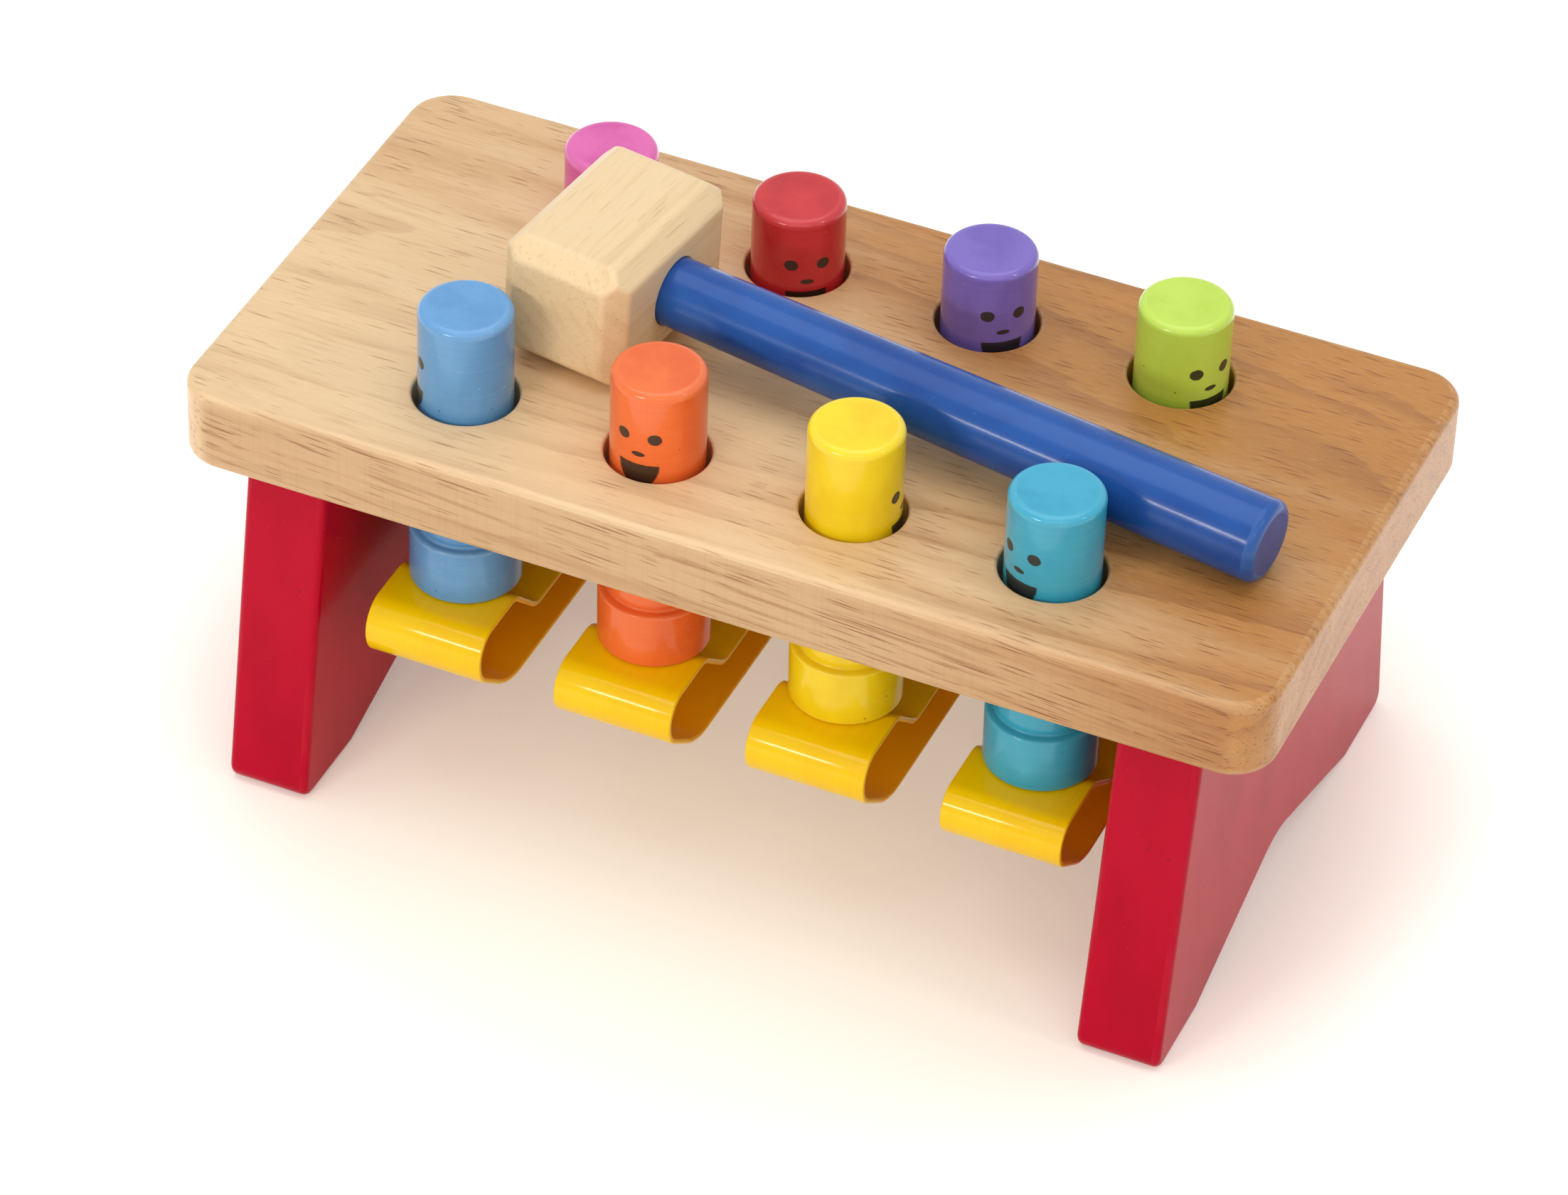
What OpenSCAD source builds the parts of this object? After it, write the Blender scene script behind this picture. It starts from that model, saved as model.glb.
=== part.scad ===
// Peg pounding bench: a wooden bench on two board legs, with eight captive
// pegs that slide through its top, four springy catch straps under them and
// a loose mallet that lies on the bench.
// Millimetres, +Z up. The origin is on the floor under the bench's centre,
// X runs along the bench and -Y is the front.

/* [Bench top] */
// Length of the bench top
top_len = 290; // [260:1:340]
// Depth of the bench top, front to back
top_depth = 146; // [134:1:180]
// Thickness of the bench top
top_thick = 22; // [16:1:30]
// Height of the top face above the floor
bench_height = 116; // [106:1:150]
// Radius of the bench top's corners, seen from above
corner_r = 12; // [6:0.5:20]
// Radius of the soft edge all round the bench top
edge_r = 2.2; // [1:0.1:4]

/* [Legs] */
// Thickness of a leg board
leg_thick = 22; // [16:1:26]
// Distance from the bench top's end to a leg's outer face
leg_inset = 17; // [10:1:22]
// Depth of a leg where it meets the bench top
leg_top_depth = 131; // [110:1:140]
// Depth of a leg at the floor
leg_foot_depth = 160; // [140:1:190]
// Length of each foot along the floor
foot_len = 27; // [18:1:40]
// Height of the cut between the feet
notch_rise = 16; // [10:1:24]
// Radius at the top of the cut between the feet
notch_r = 26; // [10:1:40]
// Radius of the feet's corners at the floor
foot_r = 4; // [1:0.5:6]

/* [Pegs] */
// Diameter of a peg
peg_d = 24; // [20:0.5:26]
// Length of a peg
peg_len = 83; // [76:1:92]
// Radius round the top of a peg
peg_crown_r = 2; // [1:0.25:4]
// Height of the collar at the foot of a peg
collar_h = 16; // [10:0.5:18]
// Radius round the edges of the collar
collar_edge_r = 0.8; // [0.4:0.1:1.5]
// Gap between a peg and its hole, on the radius
hole_clear = 1.4; // [0.6:0.1:2]
// How far the collar reaches past the hole, on the radius
collar_lip = 1; // [0.8:0.1:2]
// Bevel at the rim of each hole
hole_bevel = 0.6; // [0.3:0.1:1.2]
// Distance from the end of the bench top to the nearest pegs
peg_end = 66.5; // [60:0.5:74]
// Distance between the two rows
row_gap = 84.6; // [81:0.2:90]
// How far each front peg stands above the top, left to right
front_rise = [26.5, 25, 25.5, 23.5]; // [18:0.5:28]
// How far each back peg stands above the top, left to right
back_rise = [20.5, 21.5, 22, 22.5]; // [18:0.5:28]

/* [Catch straps] */
// Width of a strap
strap_w = 32; // [24:1:38]
// Thickness of the strap's plastic
strap_t = 1.4; // [1:0.1:2.2]
// Distance from the bench's middle to the front of a strap
strap_reach = 67.5; // [62:0.5:72]
// Where the shelf under a peg ends, from the bench's middle
shelf_end = 46; // [42:0.5:50]
// Where the strap comes down to the rail's level, from the bench's middle
dip_end = 34; // [26:0.5:38]
// Where the lower run starts to rise, from the bench's middle
belly_end = 46; // [38:0.5:52]
// Depth of the strap below the rail
strap_belly = 15; // [10:0.5:18]
// Radius of the strap's bends
bend_r = 7; // [4:0.5:9]
// Radius where the lower run starts to rise
belly_r = 22; // [10:1:30]

/* [Centre rail] */
// Thickness of the rail
rail_thick = 22; // [16:1:26]
// Height of the rail
rail_height = 46; // [36:1:52]

/* [Fasteners] */
// Diameter of the wooden dowels
dowel_d = 8; // [6:0.5:10]
// How deep a dowel sits in a leg
dowel_in_leg = 13; // [10:0.5:15]
// How deep a leg dowel sits in the bench top
dowel_in_top = 11; // [8:0.5:12]
// How deep a rail dowel sits in the rail
dowel_in_rail = 18; // [12:1:24]
// Distance between neighbouring dowels in a leg's row of four
leg_dowel_gap = 28; // [24:1:30]
// Distance between the two dowels at each end of the rail
rail_dowel_gap = 22; // [16:1:24]
// Diameter of a strap screw's shank
screw_d = 4; // [3:0.2:5]
// Length of a strap screw under its head
screw_len = 20; // [14:1:26]
// Diameter of a strap screw's head
screw_head_d = 8; // [6.5:0.5:9]
// Height of a strap screw's head
screw_head_h = 2.8; // [2:0.2:3.4]
// Diameter of a strap washer
washer_d = 13; // [10:0.5:16]
// Thickness of a strap washer
washer_t = 1.2; // [0.8:0.1:1.8]
// Diameter of the hole for the screwdriver in the strap's lower run
driver_hole_d = 10; // [9:0.5:13]

/* [Mallet] */
// Length of the mallet
mallet_len = 204; // [190:1:214]
// Diameter of the handle at its free end
handle_end_d = 21.5; // [18:0.5:24]
// Diameter of the handle at the head
handle_neck_d = 18; // [14:0.5:19]
// Radius round the free end of the handle
handle_end_r = 2.5; // [1.5:0.5:5]
// Length of the head, from one striking face to the other
head_len = 54; // [44:1:58]
// Width and height of the head
head_w = 36; // [28:1:40]
// Bevel along the head's edges
head_bevel = 5; // [2:0.5:8]
// Gap between the handle and the last peg of the front row
mallet_gap = 1; // [0.5:0.1:2]
// How far the handle runs on past that peg
mallet_over = 45.5; // [42:0.5:49]
// Turn of the mallet, seen from above
mallet_turn = -7; // [-8.5:0.5:-6]

/* [Fit] */
// Gap between a peg and the strap that it rests on
seat_gap = 0.3; // [0.1:0.1:0.6]
// Gap round dowels and screws, on the radius
fit_gap = 0.1; // [0.05:0.05:0.2]
// Gap at the ends of dowels and screws
end_gap = 1; // [0.5:0.1:2]

/* [Hidden] */
$fn = 64;
eps = 0.01;

wood = [0.86, 0.68, 0.45];
birch = [0.90, 0.78, 0.58];
leg_red = [0.76, 0.02, 0.15];
strap_yellow = [0.97, 0.80, 0.05];
steel = [0.75, 0.75, 0.77];
handle_blue = [0.13, 0.33, 0.66];

front = -1;
back = 1;
under_top = bench_height - top_thick;
rail_foot = under_top - rail_height;
leg_out = top_len / 2 - leg_inset;
leg_in = leg_out - leg_thick;
leg_mid = (leg_out + leg_in) / 2;
hole_d = peg_d + 2 * hole_clear;
collar_d = hole_d + 2 * collar_lip;
peg_pitch = (top_len - 2 * peg_end) / 3;

function column_x(column) = (column - 2.5) * peg_pitch;
function row_y(side) = side * row_gap / 2;
function rise(column, side) = (side == front ? front_rise : back_rise)[column - 1];
function peg_foot(column, side) = bench_height + rise(column, side) - peg_len;

// Outlines: corners that are rounded to a radius, as arcs of a few points.
arc_steps = 8;
function unit(v) = v / norm(v);
function arc_points(centre, start, finish) =
  let (
    from = atan2(start[1] - centre[1], start[0] - centre[0]),
    to = atan2(finish[1] - centre[1], finish[0] - centre[0]),
    turn = ((to - from + 540) % 360) - 180,
    radius = norm(start - centre)
  )
  [for (i = [0 : arc_steps])
    centre + radius * [cos(from + turn * i / arc_steps), sin(from + turn * i / arc_steps)]];
function rounded_corner(before, corner, after, radius) =
  let (
    u = unit(before - corner),
    v = unit(after - corner),
    half = acos(u * v) / 2,
    run = radius / tan(half),
    centre = corner + unit(u + v) * radius / sin(half)
  )
  arc_points(centre, corner + u * run, corner + v * run);
// Each corner is [point, radius], and a radius of 0 keeps it sharp.
function rounded_outline(corners) =
  let (count = len(corners))
  [for (i = [0 : count - 1])
    let (
      corner = corners[i],
      before = corners[(i + count - 1) % count][0],
      after = corners[(i + 1) % count][0]
    )
    each corner[1] > 0 ? rounded_corner(before, corner[0], after, corner[1]) : [corner[0]]];
// The outline moved sideways by a distance, to the left of its direction.
function shifted(points, distance) =
  let (count = len(points))
  [for (i = [0 : count - 1])
    let (along = unit(points[(i + 1) % count] - points[(i + count - 1) % count]))
    points[i] + distance * [-along[1], along[0]]];

// A half profile whose outer corners are rounded, for turned and edged pieces.
module soft_profile(reach, height, low_r, high_r) {
  translate([0, low_r]) square([reach, height - low_r - high_r]);
  square([reach - low_r, height]);
  square([reach - high_r, height]);
  translate([reach - low_r, low_r]) circle(low_r);
  translate([reach - high_r, height - high_r]) circle(high_r);
}
module turned(radius, height, low_r, high_r) {
  rotate_extrude() intersection() {
    soft_profile(radius, height, low_r, high_r);
    square([radius, height]);
  }
}

// A board with round corners and a soft edge all round, standing on z = 0.
module soft_board(length, depth, thick) {
  straight_x = length - 2 * corner_r;
  straight_y = depth - 2 * corner_r;
  for (sx = [-1, 1], sy = [-1, 1])
    translate([sx * straight_x / 2, sy * straight_y / 2, 0])
      rotate(sx > 0 ? (sy > 0 ? 0 : 270) : (sy > 0 ? 90 : 180))
        rotate_extrude(angle = 90) board_edge(thick);
  for (side = [0, 180])
    rotate(side) {
      translate([-straight_x / 2, straight_y / 2, 0])
        rotate([90, 0, 90]) linear_extrude(straight_x) board_edge(thick);
      translate([straight_x / 2, straight_y / 2, 0])
        rotate([90, 0, 0]) linear_extrude(straight_y) board_edge(thick);
    }
  translate([-straight_x / 2, -straight_y / 2, 0]) cube([straight_x, straight_y, thick]);
}
module board_edge(thick) {
  intersection() {
    soft_profile(corner_r, thick, edge_r, edge_r);
    square([corner_r, thick]);
  }
}

module bench_top() {
  color(wood) difference() {
    translate([0, 0, under_top]) soft_board(top_len, top_depth, top_thick);
    for (column = [1 : 4], side = [front, back])
      translate([column_x(column), row_y(side), 0]) peg_hole();
    at_leg_dowels() dowel_hole(dowel_in_leg, dowel_in_top);
  }
}
module peg_hole() {
  translate([0, 0, under_top - eps]) cylinder(d = hole_d, h = top_thick + 2 * eps);
  for (end = [0, 1])
    translate([0, 0, under_top + end * top_thick])
      mirror([0, 0, end]) translate([0, 0, -eps])
        cylinder(r1 = hole_d / 2 + hole_bevel + eps, r2 = hole_d / 2 - eps, h = hole_bevel + 2 * eps);
}

// A leg board: wider at the floor, with a shallow cut that leaves two feet.
module leg(side) {
  top = leg_top_depth / 2;
  foot = leg_foot_depth / 2;
  inner = foot - foot_len;
  outline = rounded_outline([
    [[-top, under_top], 0], [[-foot, 0], foot_r], [[-inner, 0], foot_r],
    [[0, notch_rise], notch_r],
    [[inner, 0], foot_r], [[foot, 0], foot_r], [[top, under_top], 0]
  ]);
  color(leg_red) difference() {
    translate([side > 0 ? leg_in : -leg_out, 0, 0])
      rotate([90, 0, 90]) linear_extrude(leg_thick) polygon(outline);
    at_leg_dowels() dowel_hole(dowel_in_leg, dowel_in_top);
    at_rail_dowels() dowel_hole(dowel_in_leg, dowel_in_rail);
  }
}
module left_leg() { leg(-1); }
module right_leg() { leg(1); }

// The rail between the legs, which carries the straps under the pegs.
module centre_rail() {
  color(birch) difference() {
    translate([-leg_in, -rail_thick / 2, rail_foot]) cube([2 * leg_in, rail_thick, rail_height]);
    at_rail_dowels() dowel_hole(dowel_in_leg, dowel_in_rail);
    for (column = [1 : 4])
      translate([column_x(column), 0, rail_foot - eps])
        cylinder(d = screw_d + 2 * fit_gap, h = screw_len - strap_t - washer_t + end_gap);
  }
}

// Dowels stand on z = 0 at the joint, with their leg end below it.
module at_leg_dowels() {
  for (side = [-1, 1], place = [-1.5, -0.5, 0.5, 1.5])
    translate([side * leg_mid, place * leg_dowel_gap, under_top]) children();
}
module at_rail_dowels() {
  for (side = [-1, 1], z = [-1, 1])
    translate([side * leg_in, 0, rail_foot + rail_height / 2 + z * rail_dowel_gap / 2])
      rotate([0, -90 * side, 0]) children();
}
module dowel_hole(below, above) {
  translate([0, 0, -below]) cylinder(d = dowel_d + 2 * fit_gap, h = below + above);
}
module dowel(below, above) {
  dowel_bevel = 1;
  length = below + above - 2 * end_gap;
  translate([0, 0, -below + end_gap]) {
    cylinder(r1 = dowel_d / 2 - dowel_bevel, r2 = dowel_d / 2, h = dowel_bevel);
    translate([0, 0, dowel_bevel]) cylinder(d = dowel_d, h = length - 2 * dowel_bevel);
    translate([0, 0, length - dowel_bevel])
      cylinder(r1 = dowel_d / 2, r2 = dowel_d / 2 - dowel_bevel, h = dowel_bevel);
  }
}
module leg_dowels() { color(birch) at_leg_dowels() dowel(dowel_in_leg, dowel_in_top); }
module rail_dowels() { color(birch) at_rail_dowels() dowel(dowel_in_leg, dowel_in_rail); }

// A strap's middle line on one side of the rail, from the rail outwards and back.
nose_share = 0.45;
bend_share = 0.3;
function strap_side(side, shelf_z) =
  let (
    low_z = rail_foot - strap_t / 2,
    belly_z = rail_foot - strap_belly + strap_t / 2,
    bulb = shelf_z - belly_z,
    bend = min(bend_r, bend_share * bulb),
    nose_y = side * (strap_reach - strap_t / 2)
  )
  [
    [[side * dip_end, low_z], bend], [[side * shelf_end, shelf_z], bend], [[nose_y, shelf_z], bend],
    [[nose_y, belly_z + nose_share * bulb], bend], [[side * belly_end, belly_z], belly_r]
  ];
function reversed(list) = [for (i = [len(list) - 1 : -1 : 0]) list[i]];
function shelf_height(column, side) = peg_foot(column, side) - seat_gap - strap_t / 2;

// One strap: a closed loop of plastic that is screwed up to the rail, with
// a springy bulb under the front peg and one under the back peg.
module strap(column) {
  middle = rounded_outline(concat(
    strap_side(front, shelf_height(column, front)),
    reversed(strap_side(back, shelf_height(column, back)))
  ));
  color(strap_yellow) translate([column_x(column), 0, 0]) difference() {
    translate([-strap_w / 2, 0, 0]) rotate([90, 0, 90]) linear_extrude(strap_w) difference() {
      polygon(shifted(middle, -strap_t / 2));
      polygon(shifted(middle, strap_t / 2));
    }
    translate([0, 0, rail_foot - strap_belly / 2])
      cylinder(d = screw_d + 2 * fit_gap, h = strap_belly);
    translate([0, 0, rail_foot - strap_belly - strap_t]) cylinder(d = driver_hole_d, h = 3 * strap_t);
  }
}
module strap_1() { strap(1); }
module strap_2() { strap(2); }
module strap_3() { strap(3); }
module strap_4() { strap(4); }

module strap_washers() {
  color(steel) for (column = [1 : 4])
    translate([column_x(column), 0, rail_foot - strap_t - washer_t]) difference() {
      cylinder(d = washer_d, h = washer_t);
      translate([0, 0, -eps]) cylinder(d = screw_d + 2 * fit_gap, h = washer_t + 2 * eps);
    }
}
// Pan-head screws with a cross recess, driven up through washer and strap into the rail.
module strap_screws() {
  recess_w = screw_head_d / 5;
  point_h = screw_d / 2;
  color(steel) for (column = [1 : 4])
    translate([column_x(column), 0, rail_foot - strap_t - washer_t]) {
      difference() {
        translate([0, 0, -screw_head_h])
          turned(screw_head_d / 2, screw_head_h, screw_head_h / 2, screw_head_h / 10);
        for (turn = [0, 90])
          rotate(turn) translate([-screw_head_d / 4, -recess_w / 2, -screw_head_h - eps])
            cube([screw_head_d / 2, recess_w, screw_head_h / 2]);
      }
      cylinder(d = screw_d, h = screw_len - point_h);
      translate([0, 0, screw_len - point_h]) cylinder(r1 = screw_d / 2, r2 = screw_d / 8, h = point_h);
    }
}

// A turned peg: a plain shaft with a soft crown, on a wider collar that can't pass the hole.
module peg(column, side, paint) {
  color(paint) translate([column_x(column), row_y(side), peg_foot(column, side)]) {
    turned(collar_d / 2, collar_h, collar_edge_r, collar_edge_r);
    translate([0, 0, collar_h / 2])
      turned(peg_d / 2, peg_len - collar_h / 2, collar_edge_r, peg_crown_r);
  }
}
module peg_blue() { peg(1, front, [0.27, 0.52, 0.80]); }
module peg_orange() { peg(2, front, [0.94, 0.43, 0.18]); }
module peg_yellow() { peg(3, front, [0.97, 0.86, 0.05]); }
module peg_teal() { peg(4, front, [0.10, 0.58, 0.72]); }
module peg_pink() { peg(1, back, [0.88, 0.33, 0.70]); }
module peg_red() { peg(2, back, [0.80, 0.15, 0.20]); }
module peg_purple() { peg(3, back, [0.44, 0.28, 0.70]); }
module peg_green() { peg(4, back, [0.58, 0.79, 0.20]); }

// The mallet lies on the bench: it leans on the head's lower edge and on its handle's end.
// In its own frame the handle runs along +X and the head starts at x = 0.
head_r = head_w / 2;
end_r = handle_end_d / 2;
mallet_pitch = atan((head_r - end_r) / (mallet_len - handle_end_r - head_w + head_bevel));
module place_mallet() {
  translate([column_x(4), row_y(front), bench_height + seat_gap]) rotate(mallet_turn)
    translate([mallet_over - handle_end_r, peg_d / 2 + mallet_gap + end_r, 0])
      rotate([0, mallet_pitch, 0])
        translate([-mallet_len + handle_end_r, 0, end_r]) children();
}
module bevelled_square(width, height) {
  w = width / 2;
  h = height / 2;
  b = head_bevel;
  polygon([[-w, -h + b], [-w + b, -h], [w - b, -h], [w, -h + b], [w, h - b], [w - b, h], [-w + b, h], [-w, h - b]]);
}
// The head: a block with bevels along all its edges, bored for the handle.
module mallet_head() {
  color(birch) place_mallet() translate([head_r, 0, 0]) difference() {
    intersection() {
      translate([0, 0, -head_r]) linear_extrude(head_w) bevelled_square(head_w, head_len);
      rotate([90, 0, 0]) translate([0, 0, -head_len / 2]) linear_extrude(head_len)
        bevelled_square(head_w, head_w);
      rotate([90, 0, 90]) translate([0, 0, -head_r]) linear_extrude(head_w)
        bevelled_square(head_len, head_w);
    }
    rotate([0, 90, 0]) translate([0, 0, -head_r - eps])
      cylinder(d = handle_neck_d + 2 * fit_gap, h = head_w + 2 * eps);
  }
}
// The handle: a straight neck glued into the head, then a taper up to a round end.
module mallet_handle() {
  taper = mallet_len - head_w - handle_end_r;
  color(handle_blue) place_mallet() rotate([0, 90, 0]) {
    cylinder(d = handle_neck_d, h = head_w);
    translate([0, 0, head_w]) cylinder(r1 = handle_neck_d / 2, r2 = end_r, h = taper);
    translate([0, 0, mallet_len - 2 * handle_end_r]) difference() {
      turned(end_r, 2 * handle_end_r, eps, handle_end_r - eps);
      translate([0, 0, -eps]) cylinder(r = end_r + eps, h = handle_end_r + eps);
    }
  }
}

bench_top();
left_leg();
right_leg();
centre_rail();
leg_dowels();
rail_dowels();
strap_1();
strap_2();
strap_3();
strap_4();
strap_screws();
strap_washers();
peg_blue();
peg_orange();
peg_yellow();
peg_teal();
peg_pink();
peg_red();
peg_purple();
peg_green();
mallet_head();
mallet_handle();
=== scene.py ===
"""A peg pounding bench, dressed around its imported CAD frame.

The sizes of pieces and patterns are millimetres. Blender's own units, and the places of
the lamps and the camera, are metres. The bench stands on the floor at z = 0, X runs along
it and -Y is its front.
"""

import logging
import math
from dataclasses import dataclass
from enum import Enum
from typing import Any, Iterable, Sequence

import bmesh
import bpy
from mathutils import Matrix, Vector
from mathutils.geometry import tessellate_polygon


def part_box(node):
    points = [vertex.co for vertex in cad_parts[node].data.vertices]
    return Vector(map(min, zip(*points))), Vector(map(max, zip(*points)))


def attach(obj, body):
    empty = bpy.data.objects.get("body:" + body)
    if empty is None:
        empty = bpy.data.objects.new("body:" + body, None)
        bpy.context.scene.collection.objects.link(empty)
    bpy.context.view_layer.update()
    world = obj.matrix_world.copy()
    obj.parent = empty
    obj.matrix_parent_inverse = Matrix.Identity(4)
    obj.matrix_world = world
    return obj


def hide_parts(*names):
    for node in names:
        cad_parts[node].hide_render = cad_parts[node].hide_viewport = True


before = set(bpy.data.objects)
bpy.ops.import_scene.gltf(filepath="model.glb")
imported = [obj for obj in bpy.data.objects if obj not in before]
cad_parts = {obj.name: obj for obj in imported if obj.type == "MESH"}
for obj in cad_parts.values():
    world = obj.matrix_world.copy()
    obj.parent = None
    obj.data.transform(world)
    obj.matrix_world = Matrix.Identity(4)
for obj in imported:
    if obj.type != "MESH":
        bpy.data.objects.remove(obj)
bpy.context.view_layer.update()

MM = 0.001
# How far from an arc the extra points are that keep the flat beside it flat
GUARD = 0.3
SMOOTH_LIMIT = math.radians(38)
SEAM_GAP = 0.0005 * MM
QUARTER = math.radians(90)
# Noise is even at whole numbers, so its origin is moved off a piece's centre
NOISE_SHIFT = (11.37, 5.71, 8.23)
NO_TURN = (0.0, 0.0, 0.0)
ORIGIN = (0.0, 0.0, 0.0)
LOG = logging.getLogger("pounding_bench")

Colour = tuple[float, float, float]


def linear(colour: Colour) -> tuple[float, float, float, float]:
    """Turns a screen colour into Blender's linear colour.

    Args:
        colour: Red, green and blue from 0 to 255, as a screen shows them.

    Returns:
        The linear colour with a full alpha.
    """
    shares = [channel / 255 for channel in colour]
    lit = [s / 12.92 if s <= 0.04045 else ((s + 0.055) / 1.055) ** 2.4 for s in shares]
    return lit[0], lit[1], lit[2], 1.0


def spoke(angle: float) -> Vector:
    """Gives the flat unit vector at an angle in radians."""
    return Vector((math.cos(angle), math.sin(angle), 0.0))


class GrainRun(Enum):
    """Which way the fibres of a wooden piece run, as turns about X, Y and Z in degrees."""

    LENGTHWISE = (0.0, 0.0, 0.0)
    UPRIGHT = (0.0, -90.0, 0.0)

    def turn(self) -> list[float]:
        """Gives the turn that lays X along the fibres, in radians."""
        return [math.radians(angle) for angle in self.value]


class Row(Enum):
    """The two rows of pegs."""

    FRONT = -1
    BACK = 1


class Side(Enum):
    """The two ends of the bench."""

    LEFT = "left_leg"
    RIGHT = "right_leg"


# Node boards: one class for arithmetic on sockets and one that adds nodes


class Wire:
    """An output socket of a node board that takes part in arithmetic."""

    def __init__(self, board: "NodeBoard", socket: bpy.types.NodeSocket) -> None:
        """Keeps the socket and the board that it is on."""
        self.board = board
        self.socket = socket

    def other(self, name: str | int) -> "Wire":
        """Gives another output of the same node."""
        return Wire(self.board, self.socket.node.outputs[name])

    def __add__(self, term: "Wire | float") -> "Wire":
        """Adds a value."""
        return self.board.maths("ADD", self, term)

    def __radd__(self, term: float) -> "Wire":
        """Adds to a number."""
        return self.board.maths("ADD", term, self)

    def __sub__(self, term: "Wire | float") -> "Wire":
        """Takes a value away."""
        return self.board.maths("SUBTRACT", self, term)

    def __rsub__(self, term: float) -> "Wire":
        """Takes this value away from a number."""
        return self.board.maths("SUBTRACT", term, self)

    def __mul__(self, factor: "Wire | float") -> "Wire":
        """Multiplies by a value."""
        return self.board.maths("MULTIPLY", self, factor)

    def __rmul__(self, factor: float) -> "Wire":
        """Multiplies a number."""
        return self.board.maths("MULTIPLY", factor, self)

    def __truediv__(self, divisor: "Wire | float") -> "Wire":
        """Divides by a value."""
        return self.board.maths("DIVIDE", self, divisor)

    def __pow__(self, power: float) -> "Wire":
        """Raises to a power."""
        return self.board.maths("POWER", self, power)

    def __lt__(self, limit: "Wire | float") -> "Wire":
        """Gives 1 where this value is below a limit."""
        return self.board.maths("LESS_THAN", self, limit)

    def __gt__(self, limit: "Wire | float") -> "Wire":
        """Gives 1 where this value is above a limit."""
        return self.board.maths("GREATER_THAN", self, limit)

    def __abs__(self) -> "Wire":
        """Gives the size of this value without its sign."""
        return self.board.maths("ABSOLUTE", self)


class NodeBoard:
    """A node tree with one method that adds any node to it."""

    def __init__(self, tree: bpy.types.NodeTree) -> None:
        """Keeps a tree and empties it."""
        self.tree = tree
        tree.nodes.clear()

    def node(
        self,
        kind: str,
        settings: dict[str, Any] | None = None,
        sockets: dict[str | int, Any] | None = None,
        take: str | int = 0,
    ) -> Wire:
        """Adds one node.

        Args:
            kind: The node's type.
            settings: The node's properties, set first.
            sockets: Values or wires for the node's inputs, by name or number.
            take: The output to give back.

        Returns:
            The chosen output of the new node.
        """
        made = self.tree.nodes.new(kind)
        for name, value in (settings or {}).items():
            setattr(made, name, value)
        for key, value in (sockets or {}).items():
            self.feed(made.inputs[key], value)
        return Wire(self, made.outputs[take])

    def sink(self, kind: str, sockets: dict[str | int, Any]) -> None:
        """Adds a node that has no outputs, such as a tree's end.

        Args:
            kind: The node's type.
            sockets: Values or wires for the node's inputs.
        """
        made = self.tree.nodes.new(kind)
        for key, value in sockets.items():
            self.feed(made.inputs[key], value)

    def feed(self, socket: bpy.types.NodeSocket, value: Any) -> None:
        """Gives a socket a link or a value.

        Args:
            socket: The input to feed.
            value: A wire, or the value to set.
        """
        if isinstance(value, Wire):
            self.tree.links.new(value.socket, socket)
        else:
            socket.default_value = value

    def maths(self, operation: str, first: Wire | float, second: Wire | float = 0.0) -> Wire:
        """Adds a Math node.

        Args:
            operation: The node's operation.
            first: The first value.
            second: The second value, if the operation has one.

        Returns:
            The result.
        """
        return self.node("ShaderNodeMath", {"operation": operation}, {0: first, 1: second})


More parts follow.
